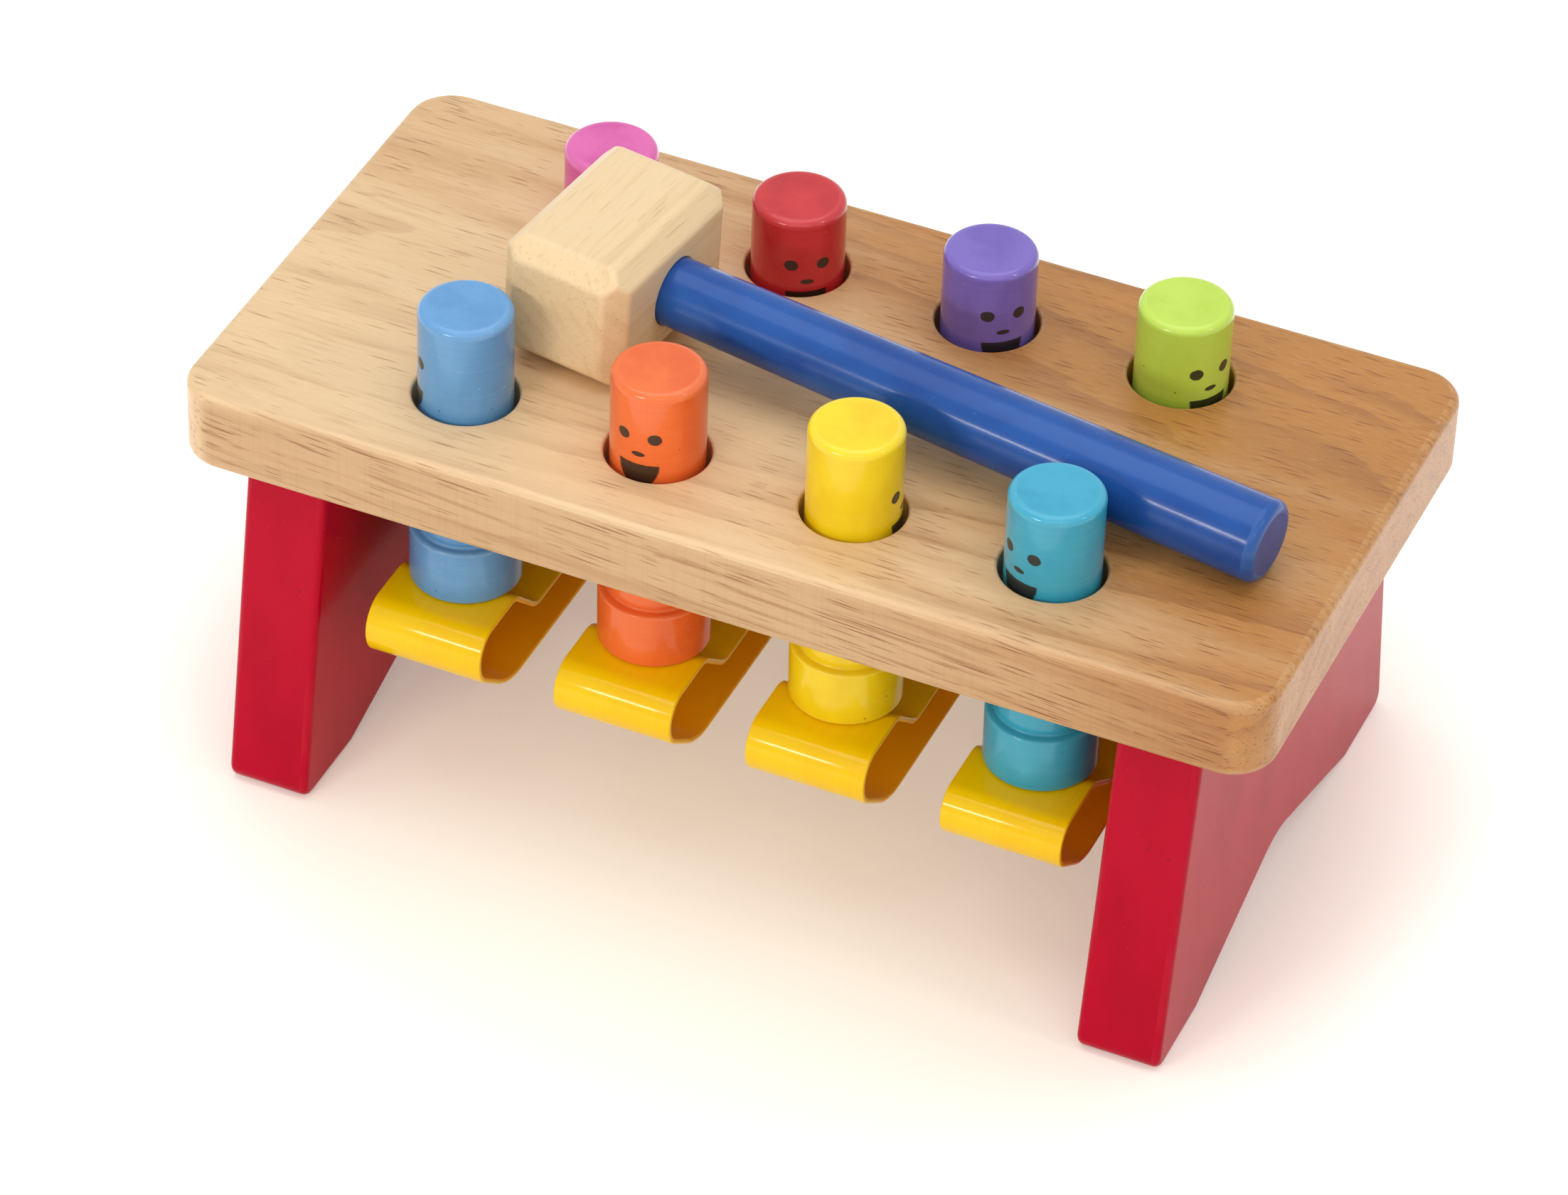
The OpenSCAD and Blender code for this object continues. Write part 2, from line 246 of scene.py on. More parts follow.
class FinishBoard(NodeBoard):
    """The node board of a material, with the patterns that finishes share."""

    def __init__(self, name: str) -> None:
        """Makes an empty material of that name."""
        self.material = bpy.data.materials.new(name)
        self.material.use_nodes = True
        super().__init__(self.material.node_tree)

    def place(self, centre: Sequence[float], turn: Sequence[float]) -> Wire:
        """Gives a piece's own coordinates in millimetres.

        Args:
            centre: The point that becomes the origin, in metres.
            turn: The turn of the piece's own axes, in radians.

        Returns:
            Object coordinates from that point, along those axes.
        """
        coordinates = self.node("ShaderNodeTexCoord", take="Object")
        return self.node(
            "ShaderNodeMapping",
            {"vector_type": "TEXTURE"},
            {"Vector": coordinates, "Location": centre, "Rotation": turn, "Scale": (MM, MM, MM)},
        )

    def split(self, vector: Wire) -> tuple[Wire, Wire, Wire]:
        """Splits a vector into X, Y and Z."""
        across = self.node("ShaderNodeSeparateXYZ", sockets={0: vector})
        return across, across.other(1), across.other(2)

    def join(self, x: Wire | float, y: Wire | float, z: Wire | float) -> Wire:
        """Joins three values into a vector."""
        return self.node("ShaderNodeCombineXYZ", sockets={0: x, 1: y, 2: z})

    def stretch(self, vector: Wire, sizes: Sequence[float]) -> Wire:
        """Divides a vector by sizes, so that a pattern of size 1 gets those sizes."""
        return self.node("ShaderNodeVectorMath", {"operation": "DIVIDE"}, {0: vector, 1: sizes})

    def noise(
        self,
        vector: Wire,
        sizes: Sequence[float],
        detail: float = 2.0,
        rough: float = 0.5,
    ) -> Wire:
        """Adds smooth noise.

        Args:
            vector: The place, in millimetres.
            sizes: The size of the noise's clouds along each axis.
            detail: How many finer layers it has.
            rough: How strong those layers are.

        Returns:
            A value that is mostly between 0.25 and 0.75.
        """
        place = self.node(
            "ShaderNodeVectorMath",
            {"operation": "ADD"},
            {0: self.stretch(vector, sizes), 1: NOISE_SHIFT},
        )
        sockets = {"Vector": place, "Scale": 1.0, "Detail": detail, "Roughness": rough}
        return self.node("ShaderNodeTexNoise", {"normalize": True}, sockets)

    def cells(self, vector: Wire, sizes: Sequence[float]) -> tuple[Wire, Wire]:
        """Adds scattered points, one in each cell.

        Args:
            vector: The place, in millimetres.
            sizes: The size of a cell along each axis.

        Returns:
            The distance to the nearest point, in cells, and that cell's random value.
        """
        place = self.stretch(vector, sizes)
        sockets = {"Vector": place, "Scale": 1.0}
        distance = self.node("ShaderNodeTexVoronoi", {"feature": "F1"}, sockets)
        lot = self.node("ShaderNodeSeparateColor", sockets={0: distance.other("Color")})
        return distance, lot

    def fade(self, value: Wire, start: float, end: float) -> Wire:
        """Goes smoothly from 0 to 1 between two values.

        Args:
            value: The value to read.
            start: Where the result is 0.
            end: Where the result is 1, above or below start.

        Returns:
            The share from 0 to 1.
        """
        low, high = min(start, end), max(start, end)
        share = self.node(
            "ShaderNodeMapRange",
            {"interpolation_type": "SMOOTHSTEP"},
            {"Value": value, "From Min": low, "From Max": high, "To Min": 0.0, "To Max": 1.0},
        )
        return share if start < end else 1.0 - share

    def mix(self, share: Wire | float, first: Any, second: Any) -> Wire:
        """Mixes two colours.

        Args:
            share: How much of the second colour shows.
            first: The first colour, as a wire or a linear colour.
            second: The second colour, as a wire or a linear colour.

        Returns:
            The mixed colour.
        """
        settings = {"data_type": "RGBA", "blend_type": "MIX", "clamp_factor": True}
        return self.node("ShaderNodeMix", settings, {0: share, 6: first, 7: second}, take=2)

    def mark(self, name: str) -> Wire:
        """Reads a piece's own attribute from 0 to 1, such as edge along its rounded edges."""
        return self.node("ShaderNodeAttribute", {"attribute_name": name}, take="Fac")

    def finish(
        self,
        colour: Wire,
        roughness: Wire,
        height: Wire,
        depth: float,
        uniform: dict[str, Any],
    ) -> bpy.types.Material:
        """Ends the material in a Principled shader with a bump.

        Args:
            colour: The base colour.
            roughness: The roughness.
            height: The bump's height, from 0 to 1.
            depth: How deep a height of 1 is, in millimetres.
            uniform: Shader values that are the same all over.

        Returns:
            The finished material.
        """
        bump = self.node(
            "ShaderNodeBump",
            sockets={"Strength": 1.0, "Distance": depth * MM, "Height": height},
        )
        varying = {"Base Color": colour, "Roughness": roughness, "Normal": bump}
        shader = self.node("ShaderNodeBsdfPrincipled", sockets={**varying, **uniform})
        self.sink("ShaderNodeOutputMaterial", {"Surface": shader})
        return self.material


# Finishes


@dataclass(frozen=True)
class Timber:
    """Lacquered solid wood with growth lines, soft streaks and fine dark dashes.

    The heart is the centre of the growth rings, across and up from the piece's centre, and
    lean is how far it moves over a unit of length. Dusk is where the wood starts and ends to
    get darker along its length, slant how far that moves over a unit of width, flush where
    it gets darker across its width, and planed how far from the centre the planed edges are
    that show the planer's marks and are darkened as painted shade. Glint is the tone of the
    lightest fibres. The sizes of the patterns are along, across and up, with X along the fibres.
    """

    WANDER_SIZE = (150, 40, 40)
    BAND_SIZE = (180, 13, 13)
    STREAK_SIZE = (58, 1.5, 1.5)
    FIBRE_SIZE = (20, 0.3, 0.3)
    MARK_SIZE = (0.9, 70, 70)
    RIPPLE_SIZE = (45, 8, 8)
    LONG_PORE = (36.0, 1.0, 1.0)
    SHORT_PORE = (15.0, 0.7, 0.7)
    THICK_PORE = (46.0, 2.4, 2.4)
    MARK_DEPTH = 0.8

    name: str
    pale: Colour
    warm: Colour
    line: Colour
    pore: Colour
    ring_gap: float
    ring_share: float
    pore_share: float
    heart: tuple[float, float]
    lean: tuple[float, float] = (0.0, 0.0)
    dusk: tuple[float, float] = (400.0, 800.0)
    flush: tuple[float, float] = (400.0, 800.0)
    slant: float = 0.0
    planed: float = 400.0
    glint: Colour = (255, 240, 214)
    coat: float = 0.25
    depth: float = 0.1

    def dress(self, centre: Sequence[float], turn: Sequence[float]) -> bpy.types.Material:
        """Makes the material for one piece.

        Args:
            centre: The piece's centre, in metres.
            turn: The turn that lays X along the fibres, in radians.

        Returns:
            The material.
        """
        board = FinishBoard(self.name)
        place = board.place(centre, turn)
        along, across, up = board.split(place)
        wander = board.noise(place, self.WANDER_SIZE) - 0.5
        drift = across + wander * 9.0 + along * 0.02
        climb = up + wander * 3.0 + along * 0.06
        fibre_place = board.join(along, drift, climb)
        bands = board.noise(fibre_place, self.BAND_SIZE)
        streaks = board.noise(fibre_place, self.STREAK_SIZE, rough=0.55)
        fibres = board.noise(fibre_place, self.FIBRE_SIZE, rough=0.6)
        dusk = board.fade(along + across * self.slant, self.dusk[0], self.dusk[1])
        flush = board.fade(across, self.flush[0], self.flush[1])
        tone = board.fade(bands * 0.6 + dusk * 0.58 + flush * 0.24, 0.24, 0.9)
        colour = board.mix(tone, linear(self.pale), linear(self.warm))
        # Marks the planed front and back faces, for their planer's marks and painted shade
        planed_faces_and_shade = board.fade(abs(across), self.planed - self.MARK_DEPTH, self.planed)
        late = self._late_wood(board, place, wander)
        patchy = board.fade(bands, 0.38, 0.62) * (0.3 + tone * 0.7)
        colour = board.mix(late * patchy * self.ring_share, colour, linear(self.line))
        dark_streaks = board.fade(streaks, 0.5, 0.76) * (0.2 + planed_faces_and_shade * 0.35)
        colour = board.mix(dark_streaks, colour, linear(self.line))
        fine = board.fade(fibres, 0.5, 0.75) * (0.1 + tone * 0.2)
        colour = board.mix(fine, colour, linear(self.line))
        colour = board.mix(board.fade(fibres, 0.45, 0.25) * 0.1, colour, linear(self.glint))
        marks = board.fade(board.noise(place, self.MARK_SIZE), 0.48, 0.7) * planed_faces_and_shade
        # Painted shade: the planed faces are darkened towards the line colour, with the marks
        colour = board.mix(planed_faces_and_shade * 0.3 + marks * 0.05, colour, linear(self.line))
        pores = self._pores(board, fibre_place, tone + planed_faces_and_shade * 0.6)
        dark_pores = pores * self.pore_share * (0.55 + tone * 0.45 + planed_faces_and_shade * 0.35)
        colour = board.mix(dark_pores, colour, linear(self.pore))
        # Worn edges and a painted highlight: the rounded edges are lightened towards the pale tone
        edge = board.mark("edge") * board.fade(streaks, 0.35, 0.6)
        colour = board.mix(edge * 0.2, colour, linear(self.pale))
        roughness = 0.34 + streaks * 0.14 + pores * 0.16
        relief = fibres * 0.1 - board.fade(streaks, 0.5, 0.74) * 0.1
        height = 0.75 - pores * 0.6 + relief - marks * 0.2
        uniform = {"Coat Weight": self.coat, "Coat Roughness": 0.24, "Specular IOR Level": 0.3}
        return board.finish(colour, roughness, height, self.depth, uniform)

    def _late_wood(self, board: FinishBoard, place: Wire, wander: Wire) -> Wire:
        """Draws the growth lines, which darken slowly and end sharply.

        Args:
            board: The material's node board.
            place: Coordinates with X along the fibres.
            wander: Slow unevenness from -0.5 to 0.5.

        Returns:
            A mask that is 1 in the darkest part of a growth ring.
        """
        along, across, up = board.split(place)
        ripple = board.noise(place, self.RIPPLE_SIZE) - 0.5
        inside = across - self.heart[0] + along * self.lean[0] + wander * 18.0
        above = up - self.heart[1] + along * self.lean[1] + wander * 9.0
        radius = (inside * inside + above * above) ** 0.5
        saw = board.maths("FRACT", radius / self.ring_gap + ripple * 0.8)
        return board.fade(saw, 0.35, 0.94) * board.fade(saw, 1.0, 0.95)

    def _pores(self, board: FinishBoard, place: Wire, tone: Wire) -> Wire:
        """Scatters dark dashes along the fibres.

        Args:
            board: The material's node board.
            place: Coordinates with X along the fibres.
            tone: Where the wood is darker, with more dashes.

        Returns:
            A mask that is 1 inside a dash.
        """
        long_gap, long_lot = board.cells(place, self.LONG_PORE)
        short_gap, short_lot = board.cells(place, self.SHORT_PORE)
        thick_gap, thick_lot = board.cells(place, self.THICK_PORE)
        long_mask = board.fade(long_gap, 0.32, 0.12) * (long_lot < 0.22 + tone * 0.4)
        short_mask = board.fade(short_gap, 0.3, 0.14) * (short_lot < 0.16 + tone * 0.4)
        thick_mask = board.fade(thick_gap, 0.26, 0.04) * (thick_lot < 0.16 + tone * 0.2)
        fine = board.maths("MAXIMUM", long_mask, short_mask * 0.7)
        return board.maths("MAXIMUM", fine, thick_mask * 0.55)


@dataclass(frozen=True)
class GlossPaint:
    """Gloss paint on wood: soft clouds, fibres that show through, specks and thin edges."""

    CLOUD_SIZE = (30, 16, 16)
    FIBRE_SIZE = (38, 0.7, 0.7)
    PEEL_SIZE = (1.4, 1.4, 1.4)
    SPECK_SIZE = (2.7, 2.7, 2.7)
    PIT_SIZE = (4.6, 4.6, 4.6)

    name: str
    paint: Colour
    deep: Colour
    thin: Colour
    gloss: float = 0.16
    sheen_level: float = 0.3
    coat: float = 0.25
    pit: Colour = (60, 30, 26)
    depth: float = 0.1

    def dress(self, centre: Sequence[float], turn: Sequence[float]) -> bpy.types.Material:
        """Makes the material for one painted piece.

        Args:
            centre: The piece's centre, in metres.
            turn: The turn that lays X along the fibres, in radians.

        Returns:
            The material.
        """
        board = FinishBoard(self.name)
        place = board.place(centre, turn)
        colour, roughness, height = self.coats(board, place)
        return board.finish(colour, roughness, height, self.depth, self.uniform())

    def uniform(self) -> dict[str, Any]:
        """Gives the shader values that are the same all over."""
        return {
            "Specular IOR Level": self.sheen_level,
            "Coat Weight": self.coat,
            "Coat Roughness": 0.07,
        }

    def coats(self, board: FinishBoard, place: Wire) -> tuple[Wire, Wire, Wire]:
        """Adds the paint's own pattern.

        Args:
            board: The material's node board.
            place: Coordinates with X along the fibres.

        Returns:
            The colour, the roughness and the bump's height.
        """
        clouds = board.noise(place, self.CLOUD_SIZE, 3.0, 0.55)
        fibres = board.noise(place, self.FIBRE_SIZE, 3.0, 0.6)
        peel = board.noise(place, self.PEEL_SIZE, 1.0)
        colour = board.mix(board.fade(clouds, 0.38, 0.66), linear(self.paint), linear(self.deep))
        colour = board.mix(board.fade(fibres, 0.55, 0.8) * 0.28, colour, linear(self.deep))
        gap, lot = board.cells(place, self.SPECK_SIZE)
        specks = board.fade(gap, 0.11, 0.05) * (lot < 0.3)
        colour = board.mix(specks * 0.4, colour, linear(self.thin))
        pit_gap, pit_lot = board.cells(place, self.PIT_SIZE)
        pits = board.fade(pit_gap, 0.09, 0.04) * (pit_lot < 0.4)
        colour = board.mix(pits * 0.55, colour, linear(self.pit))
        edge = board.mark("edge") * board.fade(clouds, 0.42, 0.62)
        colour = board.mix(edge * 0.28, colour, linear(self.thin))
        roughness = self.gloss + clouds * 0.1 + specks * 0.2 + edge * 0.08
        height = 0.5 + fibres * 0.16 + peel * 0.1 + specks * 0.3 - pits * 0.5
        return colour, roughness, height


@dataclass(frozen=True)
class PegPaint(GlossPaint):
    """Gloss paint on a turned peg, with lathe lines and a small printed face.

    The drop is how far the face sits below its usual place, and face_turn where it looks.
    Eyes, nose and smile each have their middle's distance below the peg's top and half their
    width and height, and shift sets the pegs' patterns apart by a length for each degree.
    """

    LATHE_SIZE = (0.5, 1.0, 0.6)
    WOBBLE_SIZE = (1.1, 1.1, 1.1)

    face_turn: float = 0.0
    drop: float = 0.0
    shaft_r: float = 12.0
    ink: Colour = (38, 33, 24)
    ink_depth: float = 0.4
    eye_apart: float = 4.2
    eye: tuple[float, float, float] = (13.2, 1.8, 1.62)
    nose: tuple[float, float, float] = (18.2, 1.75, 0.72)
    smile: tuple[float, float, float] = (21.2, 5.5, 7.0)
    depth: float = 0.08
    shift: float = 7.3

    def dress_peg(self, top: Sequence[float]) -> bpy.types.Material:
        """Makes the material for a peg.

        Args:
            top: The centre of the peg's top, in metres.

        Returns:
            The material.
        """
        board = FinishBoard(self.name)
        place = board.place(top, (0.0, 0.0, math.radians(self.face_turn)))
        across, out, up = board.split(place)
        fibre_place = board.join(up + self.face_turn * self.shift, across, out)
        colour, roughness, height = self.coats(board, fibre_place)
        radius = (across * across + out * out) ** 0.5
        rings = board.noise(board.join(radius, 0.0, up), self.LATHE_SIZE, rough=0.6)
        colour = board.mix(board.fade(rings, 0.5, 0.75) * 0.14, colour, linear(self.deep))
        colour = board.mix(board.fade(rings, 0.5, 0.3) * 0.1, colour, linear(self.thin))
        ink = self._face(board, across, out, up)
        colour = board.mix(ink * 0.96, colour, linear(self.ink))
        roughness = roughness + ink * 0.14
        height = height + rings * 0.2 + ink * 0.08
        return board.finish(colour, roughness, height, self.depth, self.uniform())

    def _face(self, board: FinishBoard, across: Wire, out: Wire, up: Wire) -> Wire:
        """Draws two eyes, a nose and an open smile round the peg.

        Args:
            board: The material's node board.
            across: Places across the face.
            out: Places through the peg, with the face at the lowest ones.
            up: Places above the peg's top, so the face is below 0.

        Returns:
            A mask that is 1 where the ink is.
        """
        wobble = board.noise(board.join(across, out, up), self.WOBBLE_SIZE, 1.0) - 0.5
        arc = board.maths("ARCTAN2", across, out * -1.0) * self.shaft_r + wobble * 0.25
        down = up * -1.0 - self.drop + wobble * 0.2
        eyes = self._spot(board, abs(arc) - self.eye_apart, down, self.eye)
        nose = self._spot(board, arc, down, self.nose)
        lip = board.fade(down, self.smile[0] - 0.1, self.smile[0] + 0.15)
        smile = self._spot(board, arc, down, self.smile) * lip
        face = board.maths("MAXIMUM", board.maths("MAXIMUM", eyes, nose), smile)
        square = across * across + out * out
        outer = square > (self.shaft_r - self.ink_depth) ** 2
        return face * outer * (square < (self.shaft_r + self.ink_depth) ** 2)

    @staticmethod
    def _spot(
        board: FinishBoard, across: Wire, down: Wire, oval: tuple[float, float, float]
    ) -> Wire:
        """Draws one filled oval.

        Args:
            board: The material's node board.
            across: Places across the oval's centre.
            down: Places below the peg's top.
            oval: The centre's distance below the top, half the width and half the height.

        Returns:
            A mask that is 1 inside the oval.
        """
        level, half_wide, half_tall = oval
        wide = across / half_wide
        tall = (down - level) / half_tall
        return board.fade(wide * wide + tall * tall, 1.1, 0.9)


@dataclass(frozen=True)
class StrapPlastic:
    """Glossy moulded plastic with faint flow lines and light scuffs.

    The deeper orange of the strap's inner side is painted light: it stands for light that
    passes through the thin plastic and bounces inside the loop.
    """

    FLOW_SIZE = (3.0, 34, 34)
    CLOUD_SIZE = (14, 18, 18)
    GRAIN_SIZE = (0.7, 0.7, 0.7)
    SCUFF_SIZE = (2.4, 6.5, 6.5)

    name: str
    body: Colour
    deep: Colour
    scuff: Colour
    inner_bounce_tone: Colour
    depth: float = 0.014

    def dress(self, centre: Sequence[float]) -> bpy.types.Material:
        """Makes the material for one strap.

        Args:
            centre: The strap's centre, in metres.

        Returns:
            The material.
        """
        board = FinishBoard(self.name)
        place = board.place(centre, NO_TURN)
        flow = board.noise(place, self.FLOW_SIZE, 3.0, 0.55)
        clouds = board.noise(place, self.CLOUD_SIZE)
        grain = board.noise(place, self.GRAIN_SIZE, 1.0)
        colour = board.mix(board.fade(flow, 0.4, 0.7) * 0.5, linear(self.body), linear(self.deep))
        gap, lot = board.cells(place, self.SCUFF_SIZE)
        scuffs = board.fade(gap, 0.1, 0.05) * (lot < 0.3)
        colour = board.mix(scuffs * 0.5, colour, linear(self.scuff))
        # Painted light: a deeper orange inside the loop, for light through the plastic
        inside = board.mark("inside")
        colour = board.mix(inside, colour, linear(self.inner_bounce_tone))
        roughness = 0.1 + clouds * 0.06 + scuffs * 0.25 + inside * 0.4
        height = 0.5 + flow * 0.2 + grain * 0.1 - scuffs * 0.3
        uniform = {"Specular IOR Level": 0.24, "Coat Weight": 0.05, "Coat Roughness": 0.06}
        return board.finish(colour, roughness, height, self.depth, uniform)


@dataclass(frozen=True)
class PlatedSteel:
    """Bright plated steel with a fine turned grain and dull patches."""

    PATCH_SIZE = (2.2, 2.2, 2.2)
    GRAIN_SIZE = (0.18, 0.18, 1.5)

    name: str
    metal: Colour
    dull: Colour
    depth: float = 0.03

    def dress(self) -> bpy.types.Material:
        """Makes the material for screws and washers.

        Returns:
            The material.
        """
        board = FinishBoard(self.name)
        place = board.place(ORIGIN, NO_TURN)
        patches = board.noise(place, self.PATCH_SIZE, 3.0, 0.6)
        grain = board.noise(place, self.GRAIN_SIZE)
        colour = board.mix(board.fade(patches, 0.4, 0.7), linear(self.metal), linear(self.dull))
        roughness = 0.24 + patches * 0.2 + grain * 0.08
        return board.finish(colour, roughness, grain, self.depth, {"Metallic": 1.0})


# Outlines and meshes


@dataclass(frozen=True)
class Corner:
    """A corner of an outline, with the radius that rounds it."""

    across: float
    up: float
    radius: float = 0.0

    def spot(self) -> Vector:
        """Gives the corner's place."""
        return Vector((self.across, self.up))


@dataclass(frozen=True)
class Station:
    """A point of an outline, with how much it belongs to a rounded corner."""

    spot: Vector
    bend: float


def trace(corners: Sequence[Corner], closed: bool, steps: int = 6) -> list[Station]:
    """Follows an outline with its corners rounded.

    A point close to each end of an arc keeps the straight run beside it flat.

    Args:
        corners: The outline's corners in order.
        closed: Whether the last corner joins the first.
        steps: How many pieces each arc has.

    Returns:
        The outline's points in order.
    """
    count = len(corners)
    stations: list[Station] = []
    for index, corner in enumerate(corners):
        at_end = not closed and index in (0, count - 1)
        if at_end or corner.radius <= 0.0:
            stations.append(Station(corner.spot(), 0.0))
            continue
        spot = corner.spot()
        to_before = (corners[index - 1].spot() - spot).normalized()
        to_after = (corners[(index + 1) % count].spot() - spot).normalized()
        half = to_before.angle(to_after) / 2
        run = corner.radius / math.tan(half)
        centre = spot + (to_before + to_after).normalized() * (corner.radius / math.sin(half))
        start = spot + to_before * run - centre
        sweep = start.angle_signed(spot + to_after * run - centre)
        stations.append(Station(spot + to_before * (run + GUARD), 0.0))
        for step in range(steps + 1):
            turned = Matrix.Rotation(-sweep * step / steps, 2) @ start
            stations.append(Station(centre + turned, 1.0))
        stations.append(Station(spot + to_after * (run + GUARD), 0.0))
    return stations


class Draft:
    """The points and faces of a piece while it is being made, in millimetres."""

    def __init__(self) -> None:
        """Starts with nothing."""
        self.points: list[Vector] = []
        self.bends: list[float] = []
        self.faces: list[tuple[int, ...]] = []

    def ring(self, points: Iterable[Vector], bend: float) -> list[int]:
        """Adds a ring of points.

        Args:
            points: The ring's points in order.
            bend: How much the ring belongs to a rounded edge.

        Returns:
            The numbers of the new points.
        """
        first = len(self.points)
        self.points.extend(points)
        self.bends.extend([bend] * (len(self.points) - first))
        return list(range(first, len(self.points)))

    def skin(self, rings: Sequence[list[int]]) -> None:
        """Joins each ring to the next with four-sided faces.

        Args:
            rings: Rings with the same number of points.
        """
        for low, high in zip(rings, rings[1:]):
            count = len(low)
            for i in range(count):
                j = (i + 1) % count
                self.faces.append((low[i], low[j], high[j], high[i]))

    def cap(self, loops: Sequence[list[int]]) -> None:
        """Fills a flat face that may have holes.

        Args:
            loops: The outer ring, and then a ring for each hole.
        """
        numbers = [number for loop in loops for number in loop]
        flat = [[self.points[number] for number in loop] for loop in loops]
        for triangle in tessellate_polygon(flat):
            self.faces.append(tuple(numbers[corner] for corner in triangle))

    def piece(self, name: str, finish: bpy.types.Material) -> bpy.types.Object:
        """Turns the draft into an object.

        Args:
            name: The piece's name.
            finish: The piece's material.

        Returns:
            The new object, with its faces pointing outwards.
        """
        mesh = bpy.data.meshes.new(name)
        mesh.from_pydata([point * MM for point in self.points], [], self.faces)
        edge = mesh.attributes.new("edge", "FLOAT", "POINT")
        edge.data.foreach_set("value", self.bends)
        return settle(name, mesh, finish)


def settle(name: str, mesh: bpy.types.Mesh, finish: bpy.types.Material | None) -> bpy.types.Object:
    """Closes a mesh's seams, turns its faces outwards, smooths it and puts it in the scene.

    Args:
        name: The piece's name.
        mesh: The piece's mesh, in metres.
        finish: The piece's material, or None where the mesh has one.

    Returns:
        The new object.
    """
    work = bmesh.new()
    work.from_mesh(mesh)
    bmesh.ops.remove_doubles(work, verts=work.verts, dist=SEAM_GAP)
    bmesh.ops.recalc_face_normals(work, faces=work.faces)
    work.to_mesh(mesh)
    work.free()
    mesh.shade_smooth()
    mesh.set_sharp_from_angle(angle=SMOOTH_LIMIT)
    if finish is not None:
        mesh.materials.clear()
        mesh.materials.append(finish)
    piece = bpy.data.objects.new(name, mesh)
    bpy.context.scene.collection.objects.link(piece)
    return piece


def mount(piece: bpy.types.Object, node: str, body: str) -> bpy.types.Object:
    """Puts a piece in a CAD node's place.

    Args:
        piece: The finished piece.
        node: The CAD node that it stands for.
        body: The body that it moves with.

    Returns:
        The piece.
    """
    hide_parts(node)
    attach(piece, body)
    LOG.info("%s rides on %s with %d faces", piece.name, body, len(piece.data.polygons))
    return piece


def middle(node: str) -> Vector:
    """Gives the middle of a CAD node's box, in metres."""
    low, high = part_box(node)
    return (low + high) / 2


# Geometry Nodes: a strap that follows a path, and turned pieces


class GrowBoard(NodeBoard):
    """A Geometry Nodes tree with named inputs."""

    def __init__(self, name: str, inputs: Sequence[tuple[str, str]]) -> None:
        """Makes a tree.

        Args:
            name: The tree's name.
            inputs: Names and socket types of its inputs after the geometry.
        """
        group = bpy.data.node_groups.new(name, "GeometryNodeTree")
        super().__init__(group)
        group.interface.new_socket("Path", in_out="INPUT", socket_type="NodeSocketGeometry")
        group.interface.new_socket("Piece", in_out="OUTPUT", socket_type="NodeSocketGeometry")
        self.keys: dict[str, str] = {}
        for label, kind in inputs:
            socket = group.interface.new_socket(label, in_out="INPUT", socket_type=kind)
            self.keys[label] = socket.identifier
        self.entry = self.node("NodeGroupInput", take="Path")

    def size(self, label: str) -> Wire:
        """Gives one of the tree's named inputs."""
        return self.entry.other(label)

    def read(self, name: str) -> Wire:
        """Reads a value that is kept on the path's points."""
        return self.node("GeometryNodeInputNamedAttribute", {"data_type": "FLOAT"}, {"Name": name})

    def close(self, shape: Wire) -> None:
        """Ends the tree with smooth faces, real geometry and the finish.

        Args:
            shape: The finished geometry.
        """
        smooth = self.node("GeometryNodeSetShadeSmooth", sockets={"Geometry": shape})
        real = self.node("GeometryNodeRealizeInstances", sockets={"Geometry": smooth})
        sockets = {"Geometry": real, "Material": self.size("Finish")}
        self.sink("NodeGroupOutput", {0: self.node("GeometryNodeSetMaterial", sockets=sockets)})

    def grow(
        self,
        name: str,
        path: Sequence[Vector],
        closed: bool,
        kept: dict[str, Sequence[float]],
        sizes: dict[str, Any],
    ) -> bpy.types.Object:
        """Runs the tree on a path and keeps the result as a plain mesh.

        Args:
            name: The piece's name.
            path: The path's points, in metres.
            closed: Whether the path joins up.
            kept: Values for each point, by attribute name.
            sizes: Values of the tree's inputs, by label.

        Returns:
            The new piece.
        """
        count = len(path)
        edges = [(i, (i + 1) % count) for i in range(count if closed else count - 1)]
        line = bpy.data.meshes.new(name + "_path")
        line.from_pydata(list(path), edges, [])
        for label, values in kept.items():
            line.attributes.new(label, "FLOAT", "POINT").data.foreach_set("value", values)
        seed = bpy.data.objects.new(name + "_seed", line)
        bpy.context.scene.collection.objects.link(seed)
        modifier = seed.modifiers.new("Grow", "NODES")
        modifier.node_group = self.tree
        for label, value in sizes.items():
            modifier[self.keys[label]] = value
        graph = bpy.context.evaluated_depsgraph_get()
        mesh = bpy.data.meshes.new_from_object(seed.evaluated_get(graph), depsgraph=graph)
        mesh.name = name
        seed.modifiers.clear()
        bpy.data.objects.remove(seed)
        bpy.data.meshes.remove(line)
        return settle(name, mesh, None)


